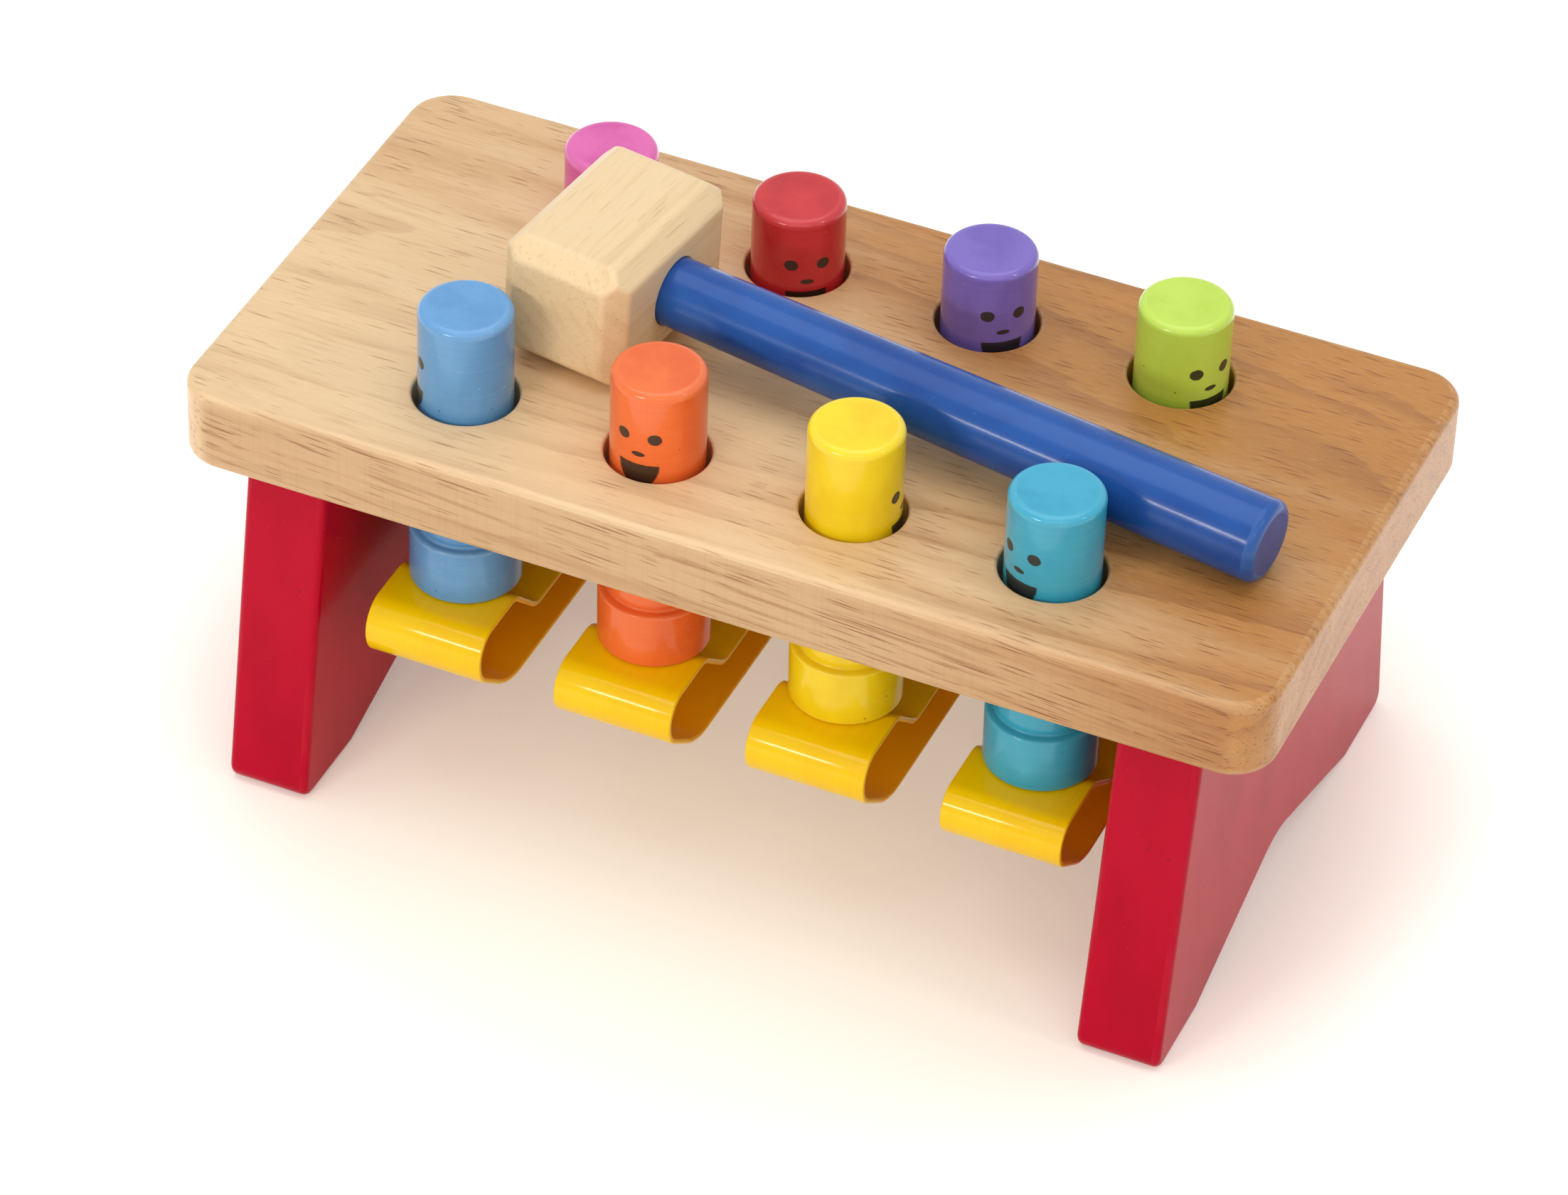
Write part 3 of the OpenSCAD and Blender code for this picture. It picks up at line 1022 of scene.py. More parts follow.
class LatheTree(GrowBoard):
    """Turns a round piece: each point of a straight path carries its own radius."""

    LEAST_RISE = 0.002
    LEAST_GIRTH = 0.15
    SIDES = 80

    def __init__(self) -> None:
        """Builds the tree."""
        super().__init__("Lathe", [("Sides", "NodeSocketInt"), ("Finish", "NodeSocketMaterial")])
        line = self.node("GeometryNodeMeshToCurve", sockets={"Mesh": self.entry})
        circle = self.node(
            "GeometryNodeCurvePrimitiveCircle",
            sockets={"Resolution": self.size("Sides"), "Radius": 1.0},
        )
        girth = self.read("girth")
        sockets = {"Curve": line, "Profile Curve": circle, "Scale": girth, "Fill Caps": True}
        self.close(self.node("GeometryNodeCurveToMesh", sockets=sockets))

    def turn(
        self,
        name: str,
        profile: Sequence[Station],
        place: Matrix,
        finish: bpy.types.Material,
    ) -> bpy.types.Object:
        """Turns one piece.

        Args:
            name: The piece's name.
            profile: Radius and height of the piece's outline from foot to top, in millimetres.
            place: Where the piece's own origin and Z axis are, in metres.
            finish: The piece's material.

        Returns:
            The new piece.
        """
        heights: list[float] = []
        for station in profile:
            floor = heights[-1] + self.LEAST_RISE if heights else station.spot.y
            heights.append(max(station.spot.y, floor))
        path = [place @ Vector((0.0, 0.0, height * MM)) for height in heights]
        kept = {
            "girth": [max(s.spot.x, self.LEAST_GIRTH) * MM for s in profile],
            "edge": [station.bend for station in profile],
        }
        return self.grow(name, path, False, kept, {"Sides": self.SIDES, "Finish": finish})


class BandTree(GrowBoard):
    """Bends a flat band round a closed path, with a hole for the screwdriver.

    The points on the loop's inner side carry the attribute inside.
    """

    EDGE_STEPS = 4
    HOLE_SIDES = 48

    def __init__(self) -> None:
        """Builds the tree."""
        lengths = ["Width", "Thickness", "Edge Radius", "Hole Radius", "Hole Depth"]
        inputs = [(label, "NodeSocketFloat") for label in lengths]
        inputs += [("Bend Steps", "NodeSocketInt"), ("Hole Place", "NodeSocketVector")]
        super().__init__("Band", inputs + [("Finish", "NodeSocketMaterial")])
        line = self.node("GeometryNodeMeshToCurve", sockets={"Mesh": self.entry})
        path = self._fillet(line, self.size("Bend Steps"), self.read("bend"))
        flat = self.node(
            "GeometryNodeCurvePrimitiveQuadrilateral",
            {"mode": "RECTANGLE"},
            {"Width": self.size("Width"), "Height": self.size("Thickness")},
        )
        section = self._fillet(flat, self.EDGE_STEPS, self.size("Edge Radius"))
        place = self.node("GeometryNodeInputPosition")
        spot = self.node("ShaderNodeSeparateXYZ", sockets={0: place})
        marked = self.node(
            "GeometryNodeStoreNamedAttribute",
            {"data_type": "FLOAT", "domain": "POINT"},
            {"Geometry": section, "Name": "inside", "Value": spot.other(1) > 0.0},
        )
        band = self.node("GeometryNodeCurveToMesh", sockets={"Curve": path, "Profile Curve": marked})
        hole_r, hole_depth = self.size("Hole Radius"), self.size("Hole Depth")
        sockets = {"Vertices": self.HOLE_SIDES, "Radius": hole_r, "Depth": hole_depth}
        drill = self.node("GeometryNodeMeshCylinder", sockets=sockets)
        sockets = {"Geometry": drill, "Translation": self.size("Hole Place")}
        placed = self.node("GeometryNodeTransform", sockets=sockets)
        settings = {"operation": "DIFFERENCE", "solver": "EXACT"}
        cut = self.node("GeometryNodeMeshBoolean", settings, {"Mesh 1": band, "Mesh 2": placed})
        self.close(cut)

    def _fillet(self, curve: Wire, steps: Wire | int, radius: Wire) -> Wire:
        """Rounds the corners of a curve.

        Args:
            curve: The curve to round.
            steps: How many points each corner gets.
            radius: The radius at each corner, which the runs beside it limit.

        Returns:
            The rounded curve.
        """
        sockets = {"Curve": curve, "Count": steps, "Radius": radius, "Limit Radius": True}
        return self.node("GeometryNodeFilletCurve", {"mode": "POLY"}, sockets)


# The bench's own pieces


@dataclass
class BenchBoard:
    """The tan board with round corners, a soft edge and a hole for each peg."""

    hole_centres: Sequence[Vector]
    corner_r: float = 12.0
    edge_r: float = 2.2
    hole_r: float = 13.4
    rim_r: float = 0.9
    edge_run: float = 1.0
    rim_run: float = 0.8
    corner_steps: int = 10
    hole_sides: int = 64

    def finish(self, centre: Vector) -> bpy.types.Material:
        """Makes the board's tan wood."""
        wood = Timber(
            name="tan_wood",
            pale=(230, 197, 152),
            warm=(186, 127, 62),
            line=(150, 96, 48),
            pore=(136, 76, 32),
            ring_gap=6.5,
            ring_share=0.56,
            pore_share=0.8,
            heart=(8.0, -58.0),
            lean=(0.05, 0.09),
            dusk=(-50.0, 155.0),
            flush=(8.0, 48.0),
            slant=0.55,
            planed=72.9,
        )
        return wood.dress(centre, GrainRun.LENGTHWISE.turn())

    def build(self) -> bpy.types.Object:
        """Makes the board and puts it in its place.

        Returns:
            The board.
        """
        low, high = (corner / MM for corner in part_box("bench_top"))
        draft = Draft()
        depth = self.edge_r + self.edge_run
        edge = trace(
            [
                Corner(depth, high.z),
                Corner(0.0, high.z, self.edge_r),
                Corner(0.0, low.z, self.edge_r),
                Corner(depth, low.z),
            ],
            closed=False,
        )
        rings = [draft.ring(self._outline(high, s.spot.x, s.spot.y), s.bend) for s in edge]
        draft.skin(rings)
        tops = [rings[0]]
        bottoms = [rings[-1]]
        for centre in self.hole_centres:
            hole = self._hole(draft, centre / MM, low.z, high.z)
            tops.append(hole[0])
            bottoms.append(hole[-1])
        draft.cap(tops)
        draft.cap(bottoms)
        piece = draft.piece("tan_board", self.finish(middle("bench_top")))
        return mount(piece, "bench_top", "bench")

    def _outline(self, high: Vector, inset: float, level: float) -> list[Vector]:
        """Makes one ring of the board's outline.

        Args:
            high: The board's highest corner.
            inset: How far the ring is inside the board's outline.
            level: The ring's height.

        Returns:
            The ring's points.
        """
        points = []
        radius = self.corner_r - inset
        for quarter in range(4):
            start = QUARTER * quarter
            end = start + QUARTER
            sx = 1 if quarter in (0, 3) else -1
            sy = 1 if quarter in (0, 1) else -1
            centre = Vector((sx * (high.x - self.corner_r), sy * (high.y - self.corner_r), level))
            points.append(centre + radius * spoke(start) + spoke(start - QUARTER) * GUARD)
            for step in range(self.corner_steps + 1):
                points.append(centre + radius * spoke(start + QUARTER * step / self.corner_steps))
            points.append(centre + radius * spoke(end) + spoke(end + QUARTER) * GUARD)
        return points

    def _hole(self, draft: Draft, centre: Vector, low: float, high: float) -> list[list[int]]:
        """Makes the wall of one peg hole.

        Args:
            draft: The board's draft.
            centre: The hole's centre.
            low: The board's lower face.
            high: The board's upper face.

        Returns:
            The hole's rings from top to bottom.
        """
        reach = self.hole_r + self.rim_r + self.rim_run
        wall = trace(
            [
                Corner(reach, high),
                Corner(self.hole_r, high, self.rim_r),
                Corner(self.hole_r, low, self.rim_r),
                Corner(reach, low),
            ],
            closed=False,
            steps=4,
        )
        rings = []
        for station in wall:
            hub = Vector((centre.x, centre.y, station.spot.y))
            angles = [math.tau * side / self.hole_sides for side in range(self.hole_sides)]
            ring = [hub + spoke(angle) * station.spot.x for angle in angles]
            rings.append(draft.ring(ring, station.bend))
        draft.skin(rings)
        return rings


@dataclass
class LegBoard:
    """A red board that is wider at the floor, with a shallow cut between two feet."""

    side: Side
    foot_depth: float = 160.0
    foot_len: float = 27.0
    top_depth: float = 131.0
    notch_rise: float = 16.0
    notch_r: float = 26.0
    foot_r: float = 4.0
    edge_r: float = 1.8
    edge_run: float = 0.8

    def finish(self, centre: Vector) -> bpy.types.Material:
        """Makes the leg's crimson paint."""
        paint = GlossPaint(
            name=self.side.value + "_red",
            paint=(191, 0, 43),
            deep=(181, 0, 39),
            thin=(214, 46, 66),
            sheen_level=0.08,
            coat=0.04,
        )
        return paint.dress(centre, GrainRun.UPRIGHT.turn())

    def build(self) -> bpy.types.Object:
        """Makes the leg and puts it in its place.

        Returns:
            The leg.
        """
        low, high = (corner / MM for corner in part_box(self.side.value))
        foot = self.foot_depth / 2
        top = self.top_depth / 2
        inner = foot - self.foot_len
        outline = trace(
            [
                Corner(-top, high.z),
                Corner(-foot, 0.0, self.foot_r),
                Corner(-inner, 0.0, self.foot_r),
                Corner(0.0, self.notch_rise, self.notch_r),
                Corner(inner, 0.0, self.foot_r),
                Corner(foot, 0.0, self.foot_r),
                Corner(top, high.z),
            ],
            closed=True,
        )
        spots = [station.spot for station in outline]
        depth = self.edge_r + self.edge_run
        edge = trace(
            [
                Corner(depth, low.x),
                Corner(0.0, low.x, self.edge_r),
                Corner(0.0, high.x, self.edge_r),
                Corner(depth, high.x),
            ],
            closed=False,
            steps=4,
        )
        draft = Draft()
        rings = []
        for station in edge:
            shrunk = self._shrink(spots, station.spot.x, high.z)
            ring = [Vector((station.spot.y, spot.x, spot.y)) for spot in shrunk]
            rings.append(draft.ring(ring, station.bend))
        draft.skin(rings)
        draft.cap([rings[0]])
        draft.cap([rings[-1]])
        piece = draft.piece(self.side.value + "_board", self.finish(middle(self.side.value)))
        return mount(piece, self.side.value, "bench")

    @staticmethod
    def _shrink(spots: Sequence[Vector], inset: float, top: float) -> list[Vector]:
        """Moves an outline inwards, and keeps its top edge at its height.

        Args:
            spots: The outline's points, with the inside to the left.
            inset: How far the points move.
            top: The height of the top edge.

        Returns:
            The moved points.
        """
        sharpest = 0.5
        longest = 1.2
        count = len(spots)
        moved = []
        for index, spot in enumerate(spots):
            before = (spot - spots[index - 1]).normalized()
            after = (spots[(index + 1) % count] - spot).normalized()
            across = Vector((-before.y - after.y, before.x + after.x)).normalized()
            reach = inset / max(sharpest, across.dot(Vector((-before.y, before.x))))
            place = spot + across * reach
            if abs(spot.y - top) < GUARD:
                step = min(inset / max(sharpest, abs(across.x)), inset * longest)
                place = Vector((spot.x + math.copysign(step, -spot.x), spot.y))
            moved.append(place)
        return moved


@dataclass
class CentreRail:
    """The pale rail between the legs that carries the straps."""

    edge_r: float = 1.6

    def finish(self, centre: Vector) -> bpy.types.Material:
        """Makes the rail's pale wood."""
        return pale_wood("rail_wood").dress(centre, GrainRun.LENGTHWISE.turn())

    def build(self) -> bpy.types.Object:
        """Makes the rail and puts it in its place.

        Returns:
            The rail.
        """
        low, high = (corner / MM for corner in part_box("centre_rail"))
        section = trace(
            [
                Corner(low.y, low.z, self.edge_r),
                Corner(high.y, low.z, self.edge_r),
                Corner(high.y, high.z, self.edge_r),
                Corner(low.y, high.z, self.edge_r),
            ],
            closed=True,
            steps=4,
        )
        draft = Draft()
        rings = [
            draft.ring([Vector((level, s.spot.x, s.spot.y)) for s in section], 0.0)
            for level in (low.x, high.x)
        ]
        draft.skin(rings)
        draft.cap([rings[0]])
        draft.cap([rings[1]])
        piece = draft.piece("pale_rail", self.finish(middle("centre_rail")))
        return mount(piece, "centre_rail", "bench")


def pale_wood(name: str) -> Timber:
    """Gives the pale close-grained wood of the rail, the dowels and the mallet's head."""
    return Timber(
        name=name,
        pale=(236, 208, 164),
        warm=(222, 186, 136),
        line=(190, 148, 98),
        pore=(150, 108, 70),
        ring_gap=4.6,
        ring_share=0.5,
        pore_share=0.4,
        heart=(13.0, -31.0),
        coat=0.1,
    )


@dataclass
class CatchStrap:
    """A springy yellow loop under one pair of pegs, screwed up to the rail."""

    number: int
    front_peg: str
    back_peg: str
    width: float = 32.0
    thick: float = 1.4
    edge_r: float = 0.45
    dip_end: float = 34.0
    shelf_end: float = 46.0
    belly_end: float = 50.0
    belly: float = 15.0
    bend_r: float = 7.0
    bend_share: float = 0.3
    nose_r: float = 8.5
    belly_r: float = 20.0
    nose_share: float = 0.54
    seat_gap: float = 0.3
    hole_r: float = 5.0
    hole_depth: float = 8.0
    bend_steps: int = 12

    def finish(self, centre: Vector) -> bpy.types.Material:
        """Makes the strap's yellow plastic."""
        plastic = StrapPlastic(
            name=f"strap_{self.number}_yellow",
            body=(252, 210, 0),
            deep=(252, 198, 0),
            scuff=(255, 226, 90),
            # Painted light: a deeper orange inside the loop
            inner_bounce_tone=(255, 192, 0),
        )
        return plastic.dress(centre)

    def corners(self, row: Row, peg: str) -> list[Corner]:
        """Gives the strap's middle line on one side of the rail.

        Args:
            row: The side of the rail.
            peg: The peg that rests on the strap there.

        Returns:
            Corners from the rail outwards and back under it.
        """
        rail_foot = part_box("centre_rail")[0].z / MM
        reach = abs(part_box(f"strap_{self.number}")[0 if row is Row.FRONT else 1].y) / MM
        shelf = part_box(peg)[0].z / MM - self.seat_gap - self.thick / 2
        base = rail_foot - self.belly + self.thick / 2
        bulb = shelf - base
        bend = min(self.bend_r, self.bend_share * bulb)
        side = row.value
        nose = side * (reach - self.thick / 2)
        return [
            Corner(side * self.dip_end, rail_foot - self.thick / 2, bend),
            Corner(side * self.shelf_end, shelf, bend),
            Corner(nose, shelf, bend),
            Corner(nose, base + self.nose_share * bulb, self.nose_r),
            Corner(side * self.belly_end, base, self.belly_r),
        ]

    def build(self, tree: BandTree) -> bpy.types.Object:
        """Makes the strap and puts it in its place.

        Args:
            tree: The tree that bends bands.

        Returns:
            The strap.
        """
        node = f"strap_{self.number}"
        centre = middle(node)
        back = self.corners(Row.BACK, self.back_peg)
        loop = self.corners(Row.FRONT, self.front_peg) + back[::-1]
        path = [Vector((centre.x, corner.across * MM, corner.up * MM)) for corner in loop]
        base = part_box(node)[0].z
        sizes = {
            "Width": self.width * MM,
            "Thickness": self.thick * MM,
            "Edge Radius": self.edge_r * MM,
            "Hole Radius": self.hole_r * MM,
            "Hole Depth": self.hole_depth * MM,
            "Hole Place": (centre.x, 0.0, base),
            "Bend Steps": self.bend_steps,
            "Finish": self.finish(centre),
        }
        kept = {"bend": [corner.radius * MM for corner in loop]}
        piece = tree.grow(f"catch_strap_{self.number}", path, True, kept, sizes)
        return mount(piece, node, "bench")


@dataclass
class Peg:
    """A turned and painted peg on a wider collar, with a face."""

    name: str
    paint: Colour
    deep: Colour
    thin: Colour
    face_turn: float
    drop: float = 0.0
    shaft_r: float = 12.0
    collar_r: float = 14.4
    collar_h: float = 16.0
    collar_edge: float = 0.8
    crown_r: float = 2.0
    fillet: float = 0.5

    def finish(self, top: Vector) -> bpy.types.Material:
        """Makes the peg's paint with its face."""
        paint = PegPaint(
            name=self.name + "_paint",
            paint=self.paint,
            deep=self.deep,
            thin=self.thin,
            face_turn=self.face_turn,
            drop=self.drop,
            shaft_r=self.shaft_r,
        )
        return paint.dress_peg(top)

    def build(self, lathe: LatheTree) -> bpy.types.Object:
        """Turns the peg and puts it in its place.

        Args:
            lathe: The tree that turns round pieces.

        Returns:
            The peg.
        """
        low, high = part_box(self.name)
        length = (high.z - low.z) / MM
        foot = Vector(((low.x + high.x) / 2, (low.y + high.y) / 2, low.z))
        top = Vector((foot.x, foot.y, high.z))
        profile = trace(
            [
                Corner(0.0, 0.0),
                Corner(self.collar_r, 0.0, self.collar_edge),
                Corner(self.collar_r, self.collar_h, self.collar_edge),
                Corner(self.shaft_r, self.collar_h, self.fillet),
                Corner(self.shaft_r, length, self.crown_r),
                Corner(0.0, length),
            ],
            closed=False,
            steps=6,
        )
        colour = self.name.replace("peg_", "")
        place = Matrix.Translation(foot)
        piece = lathe.turn(colour + "_peg", profile, place, self.finish(top))
        return mount(piece, self.name, self.name)


@dataclass
class Mallet:
    """The loose mallet: a bevelled pale head on a tapered blue handle."""

    length: float = 204.0
    end_r: float = 10.75
    neck_r: float = 9.0
    end_edge: float = 2.5
    end_dome: float = 0.05
    head_len: float = 54.0
    head_w: float = 36.0
    bevel: float = 5.0
    soft_r: float = 0.9
    neck_edge: float = 0.5
    bore_gap: float = 0.1
    bore_edge: float = 0.3
    bore_sides: int = 64
    peg_r: float = 12.0
    gap: float = 1.0
    over: float = 45.5
    turn: float = -7.0
    seat_gap: float = 0.3

    def place(self) -> Matrix:
        """Gives the mallet's own frame, with the handle along X and the head from x = 0.

        Returns:
            The frame, in metres.
        """
        peg = middle("peg_teal")
        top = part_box("bench_top")[1].z
        drop = self.head_w / 2 - self.end_r
        pitch = math.atan(drop / (self.length - self.end_edge - self.head_w + self.bevel))
        lift = Vector((peg.x, peg.y, top + self.seat_gap * MM))
        beside = self.peg_r + self.gap + self.end_r
        aside = Vector((self.over - self.end_edge, beside, 0.0)) * MM
        back = Vector((-self.length + self.end_edge, 0.0, self.end_r)) * MM
        return (
            Matrix.Translation(lift)
            @ Matrix.Rotation(math.radians(self.turn), 4, "Z")
            @ Matrix.Translation(aside)
            @ Matrix.Rotation(pitch, 4, "Y")
            @ Matrix.Translation(back)
        )

    def handle_finish(self, place: Matrix) -> bpy.types.Material:
        """Makes the handle's blue paint."""
        blue, deep, thin = (34, 86, 164), (28, 72, 148), (78, 128, 198)
        paint = GlossPaint("handle_blue", blue, deep, thin, sheen_level=0.2, coat=0.1)
        return paint.dress(place.translation, place.to_euler())

    def head_finish(self, place: Matrix) -> bpy.types.Material:
        """Makes the head's pale wood, with its fibres from one striking face to the other."""
        turned = place @ Matrix.Rotation(QUARTER, 4, "Z")
        return pale_wood("head_wood").dress(place.translation, turned.to_euler())

    def build(self, lathe: LatheTree) -> None:
        """Makes the head and the handle and puts them in their places.

        Args:
            lathe: The tree that turns round pieces.
        """
        place = self.place()
        profile = trace(
            [
                Corner(0.0, 0.0),
                Corner(self.neck_r, 0.0, self.neck_edge),
                Corner(self.neck_r, self.head_w),
                Corner(self.end_r, self.length - self.end_dome, self.end_edge),
                Corner(0.0, self.length),
            ],
            closed=False,
            steps=7,
        )
        along = place @ Matrix.Rotation(QUARTER, 4, "Y")
        handle = lathe.turn("blue_handle", profile, along, self.handle_finish(place))
        mount(handle, "mallet_handle", "mallet")
        head = self._head(place, self.head_finish(place))
        mount(head, "mallet_head", "mallet")

    def _head(self, place: Matrix, finish: bpy.types.Material) -> bpy.types.Object:
        """Makes the bevelled head with the bore for the handle.

        Args:
            place: The mallet's own frame.
            finish: The head's material.

        Returns:
            The head.
        """
        half = Vector((self.head_w / 2, self.head_len / 2, self.head_w / 2))
        insets = [(0, 1, 1), (1, 0, 1), (1, 1, 0), (0.5, 0.5, 0.5)]
        work = bmesh.new()
        for sx in (-1, 1):
            for sy in (-1, 1):
                for sz in (-1, 1):
                    for inset in insets:
                        near = half - Vector(inset) * self.bevel
                        spot = Vector((sx * near.x + half.x, sy * near.y, sz * near.z))
                        work.verts.new(spot * MM)
        bmesh.ops.convex_hull(work, input=work.verts)
        bmesh.ops.dissolve_limit(work, angle_limit=0.02, verts=work.verts, edges=work.edges)
        edge = work.verts.layers.float.new("edge")
        softened = bmesh.ops.bevel(
            work,
            geom=work.edges[:],
            offset=self.soft_r * MM,
            offset_type="OFFSET",
            segments=3,
            profile=0.5,
            affect="EDGES",
            clamp_overlap=True,
        )
        rounded = set(softened["faces"])
        for face in rounded:
            for vert in face.verts:
                vert[edge] = 1.0
        flats = [face for face in work.faces if face not in rounded]
        bmesh.ops.inset_individual(work, faces=flats, thickness=GUARD * MM)
        for face in flats:
            for vert in face.verts:
                vert[edge] = 0.0
        ends = [face for face in flats if abs(face.normal.x) > 0.99]
        self._bore(work, ends)
        mesh = bpy.data.meshes.new("pale_head")
        work.to_mesh(mesh)
        work.free()
        mesh.transform(place)
        return settle("pale_head", mesh, finish)

    def _bore(self, work: bmesh.types.BMesh, ends: Sequence[bmesh.types.BMFace]) -> None:
        """Bores the head through its two ends.

        Args:
            work: The head's mesh, in its own frame.
            ends: The two flat faces that the bore goes through.
        """
        sides = self.bore_sides
        edge = self.bore_edge * MM
        angles = [math.tau * side / sides for side in range(sides)]
        radius = (self.neck_r + self.bore_gap) * MM
        inner_rings = []
        for face in sorted(ends, key=lambda each: each.calc_center_median().x):
            level = face.calc_center_median().x
            inward = -face.normal.x * edge
            rings = []
            for reach, sink in ((radius + edge, 0.0), (radius, inward)):
                spots = [(level + sink, reach * math.cos(a), reach * math.sin(a)) for a in angles]
                rings.append([work.verts.new(spot) for spot in spots])
            loops = [list(face.verts), rings[0]]
            verts = [vert for loop in loops for vert in loop]
            flat = [[vert.co for vert in loop] for loop in loops]
            for triangle in tessellate_polygon(flat):
                work.faces.new([verts[corner] for corner in triangle])
            bmesh.ops.delete(work, geom=[face], context="FACES_ONLY")
            self._tube(work, rings[0], rings[1])
            inner_rings.append(rings[1])
        self._tube(work, inner_rings[0], inner_rings[1])

    @staticmethod
    def _tube(work: bmesh.types.BMesh, first: Sequence[Any], second: Sequence[Any]) -> None:
        """Joins two rings of points with four-sided faces.

        Args:
            work: The mesh.
            first: The first ring.
            second: The second ring, with as many points.
        """
        count = len(first)
        for i in range(count):
            j = (i + 1) % count
            work.faces.new((first[i], first[j], second[j], second[i]))


@dataclass
class Hardware:
    """The dowels, screws and washers, which keep their CAD shapes."""

    metal: Colour = (206, 206, 210)
    dull: Colour = (160, 160, 166)

    def dress(self) -> None:
        """Gives the fasteners their wood and metal."""
        steel = PlatedSteel("plated_steel", self.metal, self.dull).dress()
        turns = {"leg_dowels": GrainRun.UPRIGHT, "rail_dowels": GrainRun.LENGTHWISE}
        for node, run in turns.items():
            self._coat(node, pale_wood(node + "_wood").dress(middle(node), run.turn()))
        for node in ("strap_screws", "strap_washers"):
            self._coat(node, steel)

    @staticmethod
    def _coat(node: str, finish: bpy.types.Material) -> None:
        """Puts a material on a CAD node.

        Args:
            node: The node's name.
            finish: Its material.
        """
        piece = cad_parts[node]
        for place in piece.material_slots:
            place.material = finish
        LOG.info("%s keeps its CAD shape", node)


# Floor, light and camera


@dataclass(frozen=True)
class SoftBox:
    """A soft studio lamp that looks at the bench."""

    name: str
    spot: tuple[float, float, float]
    size: tuple[float, float]
    power: float
    tint: Colour = (255, 250, 244)

    def hang(self, target: Vector) -> None:
        """Hangs the lamp.

        Args:
            target: The point that it shines at, in metres.
        """
        lamp = bpy.data.lights.new(self.name, "AREA")
        lamp.shape = "RECTANGLE"
        lamp.size, lamp.size_y = self.size
        lamp.energy = self.power
        lamp.color = linear(self.tint)[:3]
        holder = bpy.data.objects.new(self.name, lamp)
        holder.location = self.spot
        holder.rotation_euler = (target - Vector(self.spot)).to_track_quat("-Z", "Y").to_euler()
        bpy.context.scene.collection.objects.link(holder)


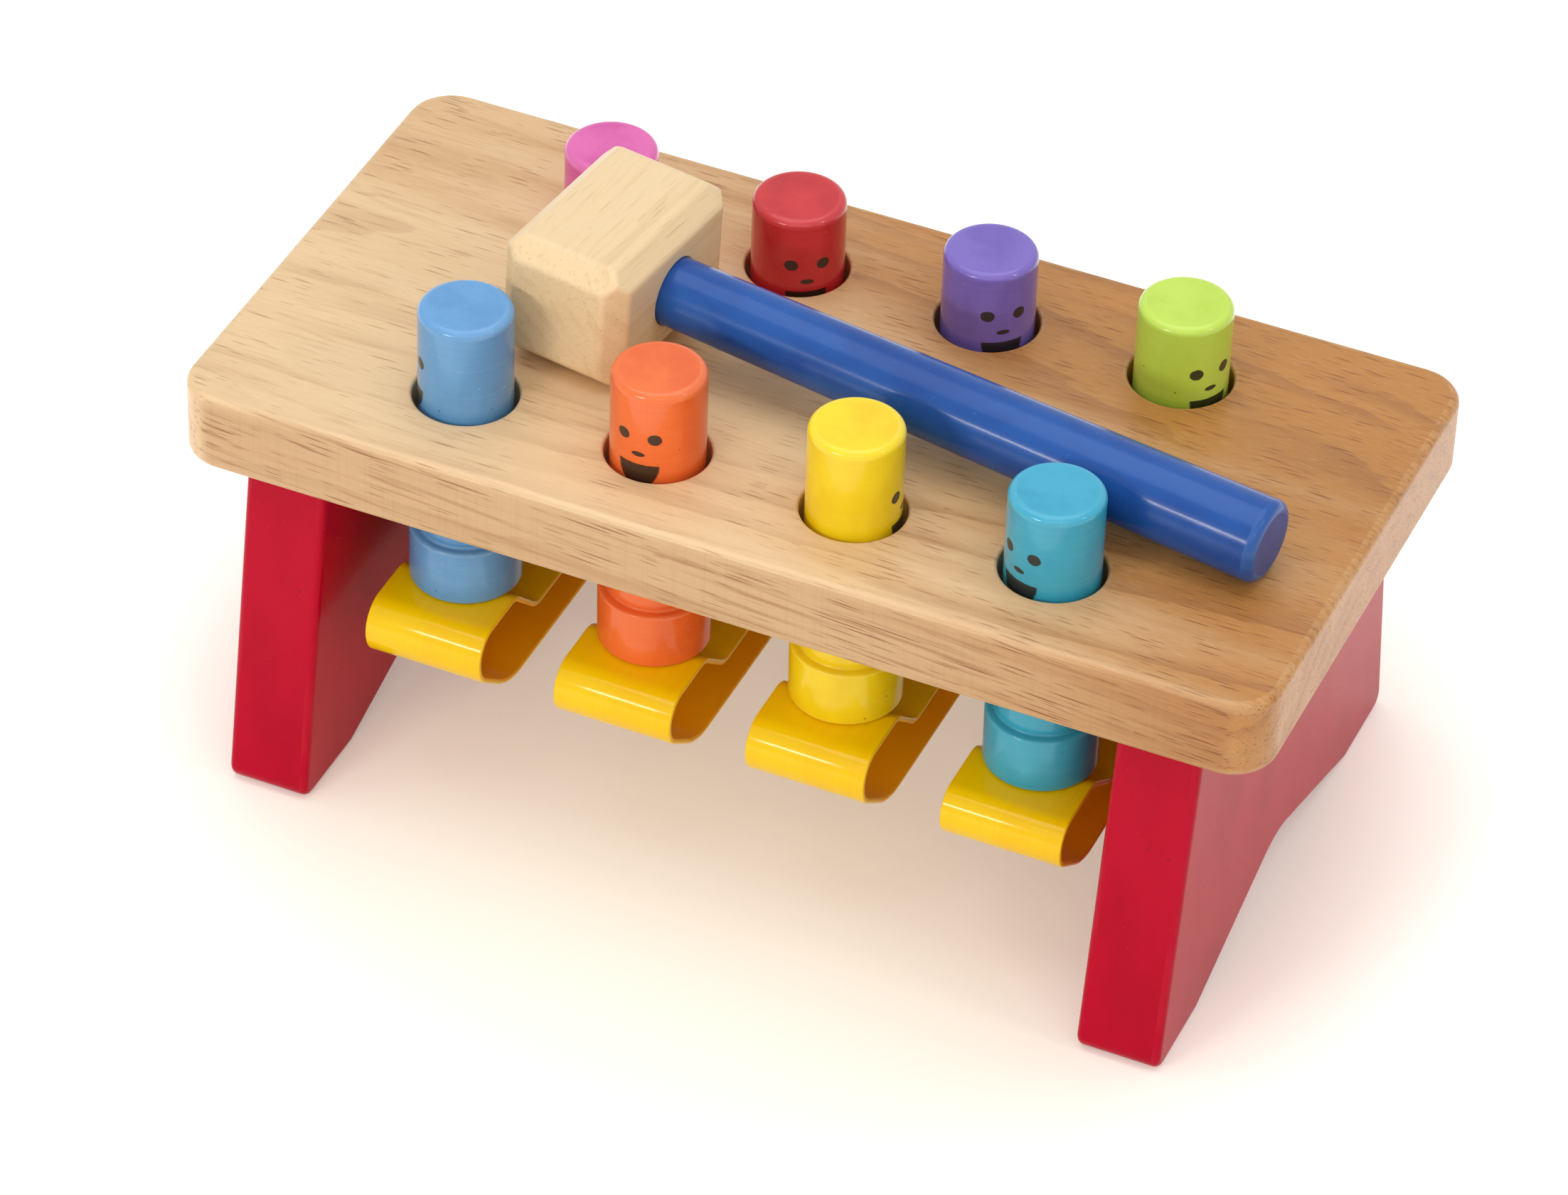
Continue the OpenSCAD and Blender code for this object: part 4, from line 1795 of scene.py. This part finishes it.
@dataclass
class Studio:
    """A pale floor, soft light from all round and the camera of the photograph.

    The floor is lifted a little for the camera, and up to full white between far_from and
    far_to millimetres from the bench's middle, so that only the bench's shadow shows.
    """

    floor_half: float = 6.0
    floor_tone: Colour = (240, 232, 220)
    floor_lift: float = 0.24
    far_from: float = 125.0
    far_to: float = 290.0
    ambient: float = 0.5
    sky: Colour = (255, 255, 255)
    camera_spot: tuple[float, float, float] = (0.51550, -1.25937, 1.15690)
    azimuth: float = 22.6055
    elevation: float = 39.2073
    roll: float = 2.1215
    lens: float = 158.23
    target: tuple[float, float, float] = (0.0, 0.0, 0.09)

    def build(self) -> None:
        """Sets up the floor, the world, the lamps and the camera."""
        bpy.context.scene.view_settings.view_transform = "Standard"
        self._lay_floor()
        self._light_world()
        for lamp in self._lamps():
            lamp.hang(Vector(self.target))
        self._set_camera()

    @staticmethod
    def _lamps() -> list[SoftBox]:
        """Gives the studio's lamps."""
        return [
            SoftBox("overhead_box", (-0.15, 0.15, 2.3), (2.4, 2.0), 28.0, (244, 249, 255)),
            SoftBox("front_wall", (0.75, -1.62, 1.5), (2.2, 1.3), 9.5, (255, 238, 218)),
            SoftBox("front_left_box", (-0.37, -1.1, 0.56), (0.34, 0.1), 3.4),
            SoftBox("right_box", (1.15, -0.06, 0.96), (0.15, 0.2), 1.4),
        ]

    @staticmethod
    def _seen(board: NodeBoard) -> Wire:
        """Gives 1 for rays that show a thing directly, in a mirror or through glass."""
        camera = board.node("ShaderNodeLightPath", take="Is Camera Ray")
        glossy = camera.other("Is Glossy Ray")
        through = camera.other("Is Transmission Ray")
        return board.maths("MAXIMUM", board.maths("MAXIMUM", camera, glossy), through)

    def _lay_floor(self) -> None:
        """Lays the pale floor, which fades to white away from the bench."""
        half = self.floor_half
        mesh = bpy.data.meshes.new("floor")
        spots = [(-half, -half, 0.0), (half, -half, 0.0), (half, half, 0.0), (-half, half, 0.0)]
        mesh.from_pydata(spots, [], [(0, 1, 2, 3)])
        board = FinishBoard("pale_floor")
        matte = board.node("ShaderNodeBsdfDiffuse", sockets={"Color": linear(self.floor_tone)})
        across, along, _ = board.split(board.place(ORIGIN, NO_TURN))
        far = board.fade((across * across + along * along) ** 0.5, self.far_from, self.far_to)
        lift = self.floor_lift + far * (1.0 - self.floor_lift)
        glow = board.node(
            "ShaderNodeEmission",
            sockets={"Color": (1.0, 1.0, 1.0, 1.0), "Strength": self._seen(board) * lift},
        )
        both = board.node("ShaderNodeAddShader", sockets={0: matte, 1: glow})
        board.sink("ShaderNodeOutputMaterial", {"Surface": both})
        mesh.materials.append(board.material)
        floor = bpy.data.objects.new("floor", mesh)
        bpy.context.scene.collection.objects.link(floor)

    def _light_world(self) -> None:
        """Lights the bench from all round, and shows a white surround."""
        world = bpy.data.worlds.new("white_room")
        world.use_nodes = True
        bpy.context.scene.world = world
        board = NodeBoard(world.node_tree)
        strength = self.ambient + self._seen(board) * (1.0 - self.ambient)
        sky = board.node(
            "ShaderNodeBackground",
            sockets={"Color": linear(self.sky), "Strength": strength},
        )
        board.sink("ShaderNodeOutputWorld", {"Surface": sky})

    def _set_camera(self) -> None:
        """Puts the camera where the photograph was taken from."""
        turn, rise, roll = (math.radians(a) for a in (self.azimuth, self.elevation, self.roll))
        right = spoke(turn)
        back = spoke(turn - QUARTER) * math.cos(rise) + Vector((0.0, 0.0, math.sin(rise)))
        up = back.cross(right)
        side = right * math.cos(roll) + up * math.sin(roll)
        head = up * math.cos(roll) - right * math.sin(roll)
        lens = bpy.data.cameras.new("camera")
        lens.sensor_fit = "HORIZONTAL"
        lens.sensor_width = 36.0
        lens.lens = self.lens
        camera = bpy.data.objects.new("camera", lens)
        turned = Matrix((side, head, back)).transposed().to_4x4()
        camera.matrix_world = Matrix.Translation(self.camera_spot) @ turned
        bpy.context.scene.collection.objects.link(camera)
        bpy.context.scene.camera = camera


def make_pegs() -> list[Peg]:
    """Gives the eight pegs, front row first and from left to right."""
    return [
        Peg("peg_blue", (102, 160, 212), (90, 148, 202), (142, 188, 226), -62.0, 1.0),
        Peg("peg_orange", (242, 114, 52), (230, 98, 40), (248, 150, 100), 0.0),
        Peg("peg_yellow", (250, 220, 26), (240, 204, 12), (253, 234, 100), 100.0, 3.8),
        Peg("peg_teal", (60, 170, 202), (50, 156, 190), (112, 200, 220), -23.0),
        Peg("peg_pink", (224, 102, 176), (210, 84, 162), (238, 146, 198), 15.0),
        Peg("peg_red", (208, 44, 50), (192, 32, 42), (224, 92, 92), 35.0),
        Peg("peg_purple", (124, 104, 192), (110, 90, 178), (156, 138, 212), 40.6, -0.8),
        Peg("peg_green", (196, 226, 86), (184, 216, 72), (214, 236, 132), 57.6, 0.6),
    ]


def main() -> None:
    """Builds the bench, its pegs, straps and mallet, and the studio round them."""
    logging.basicConfig(level=logging.INFO, format="%(message)s")
    Studio().build()
    pegs = make_pegs()
    BenchBoard([middle(peg.name) for peg in pegs]).build()
    for side in Side:
        LegBoard(side).build()
    CentreRail().build()
    band = BandTree()
    for number in range(4):
        CatchStrap(number + 1, pegs[number].name, pegs[number + 4].name).build(band)
    lathe = LatheTree()
    for peg in pegs:
        peg.build(lathe)
    Mallet().build(lathe)
    Hardware().dress()


if __name__ == "__main__":
    main()
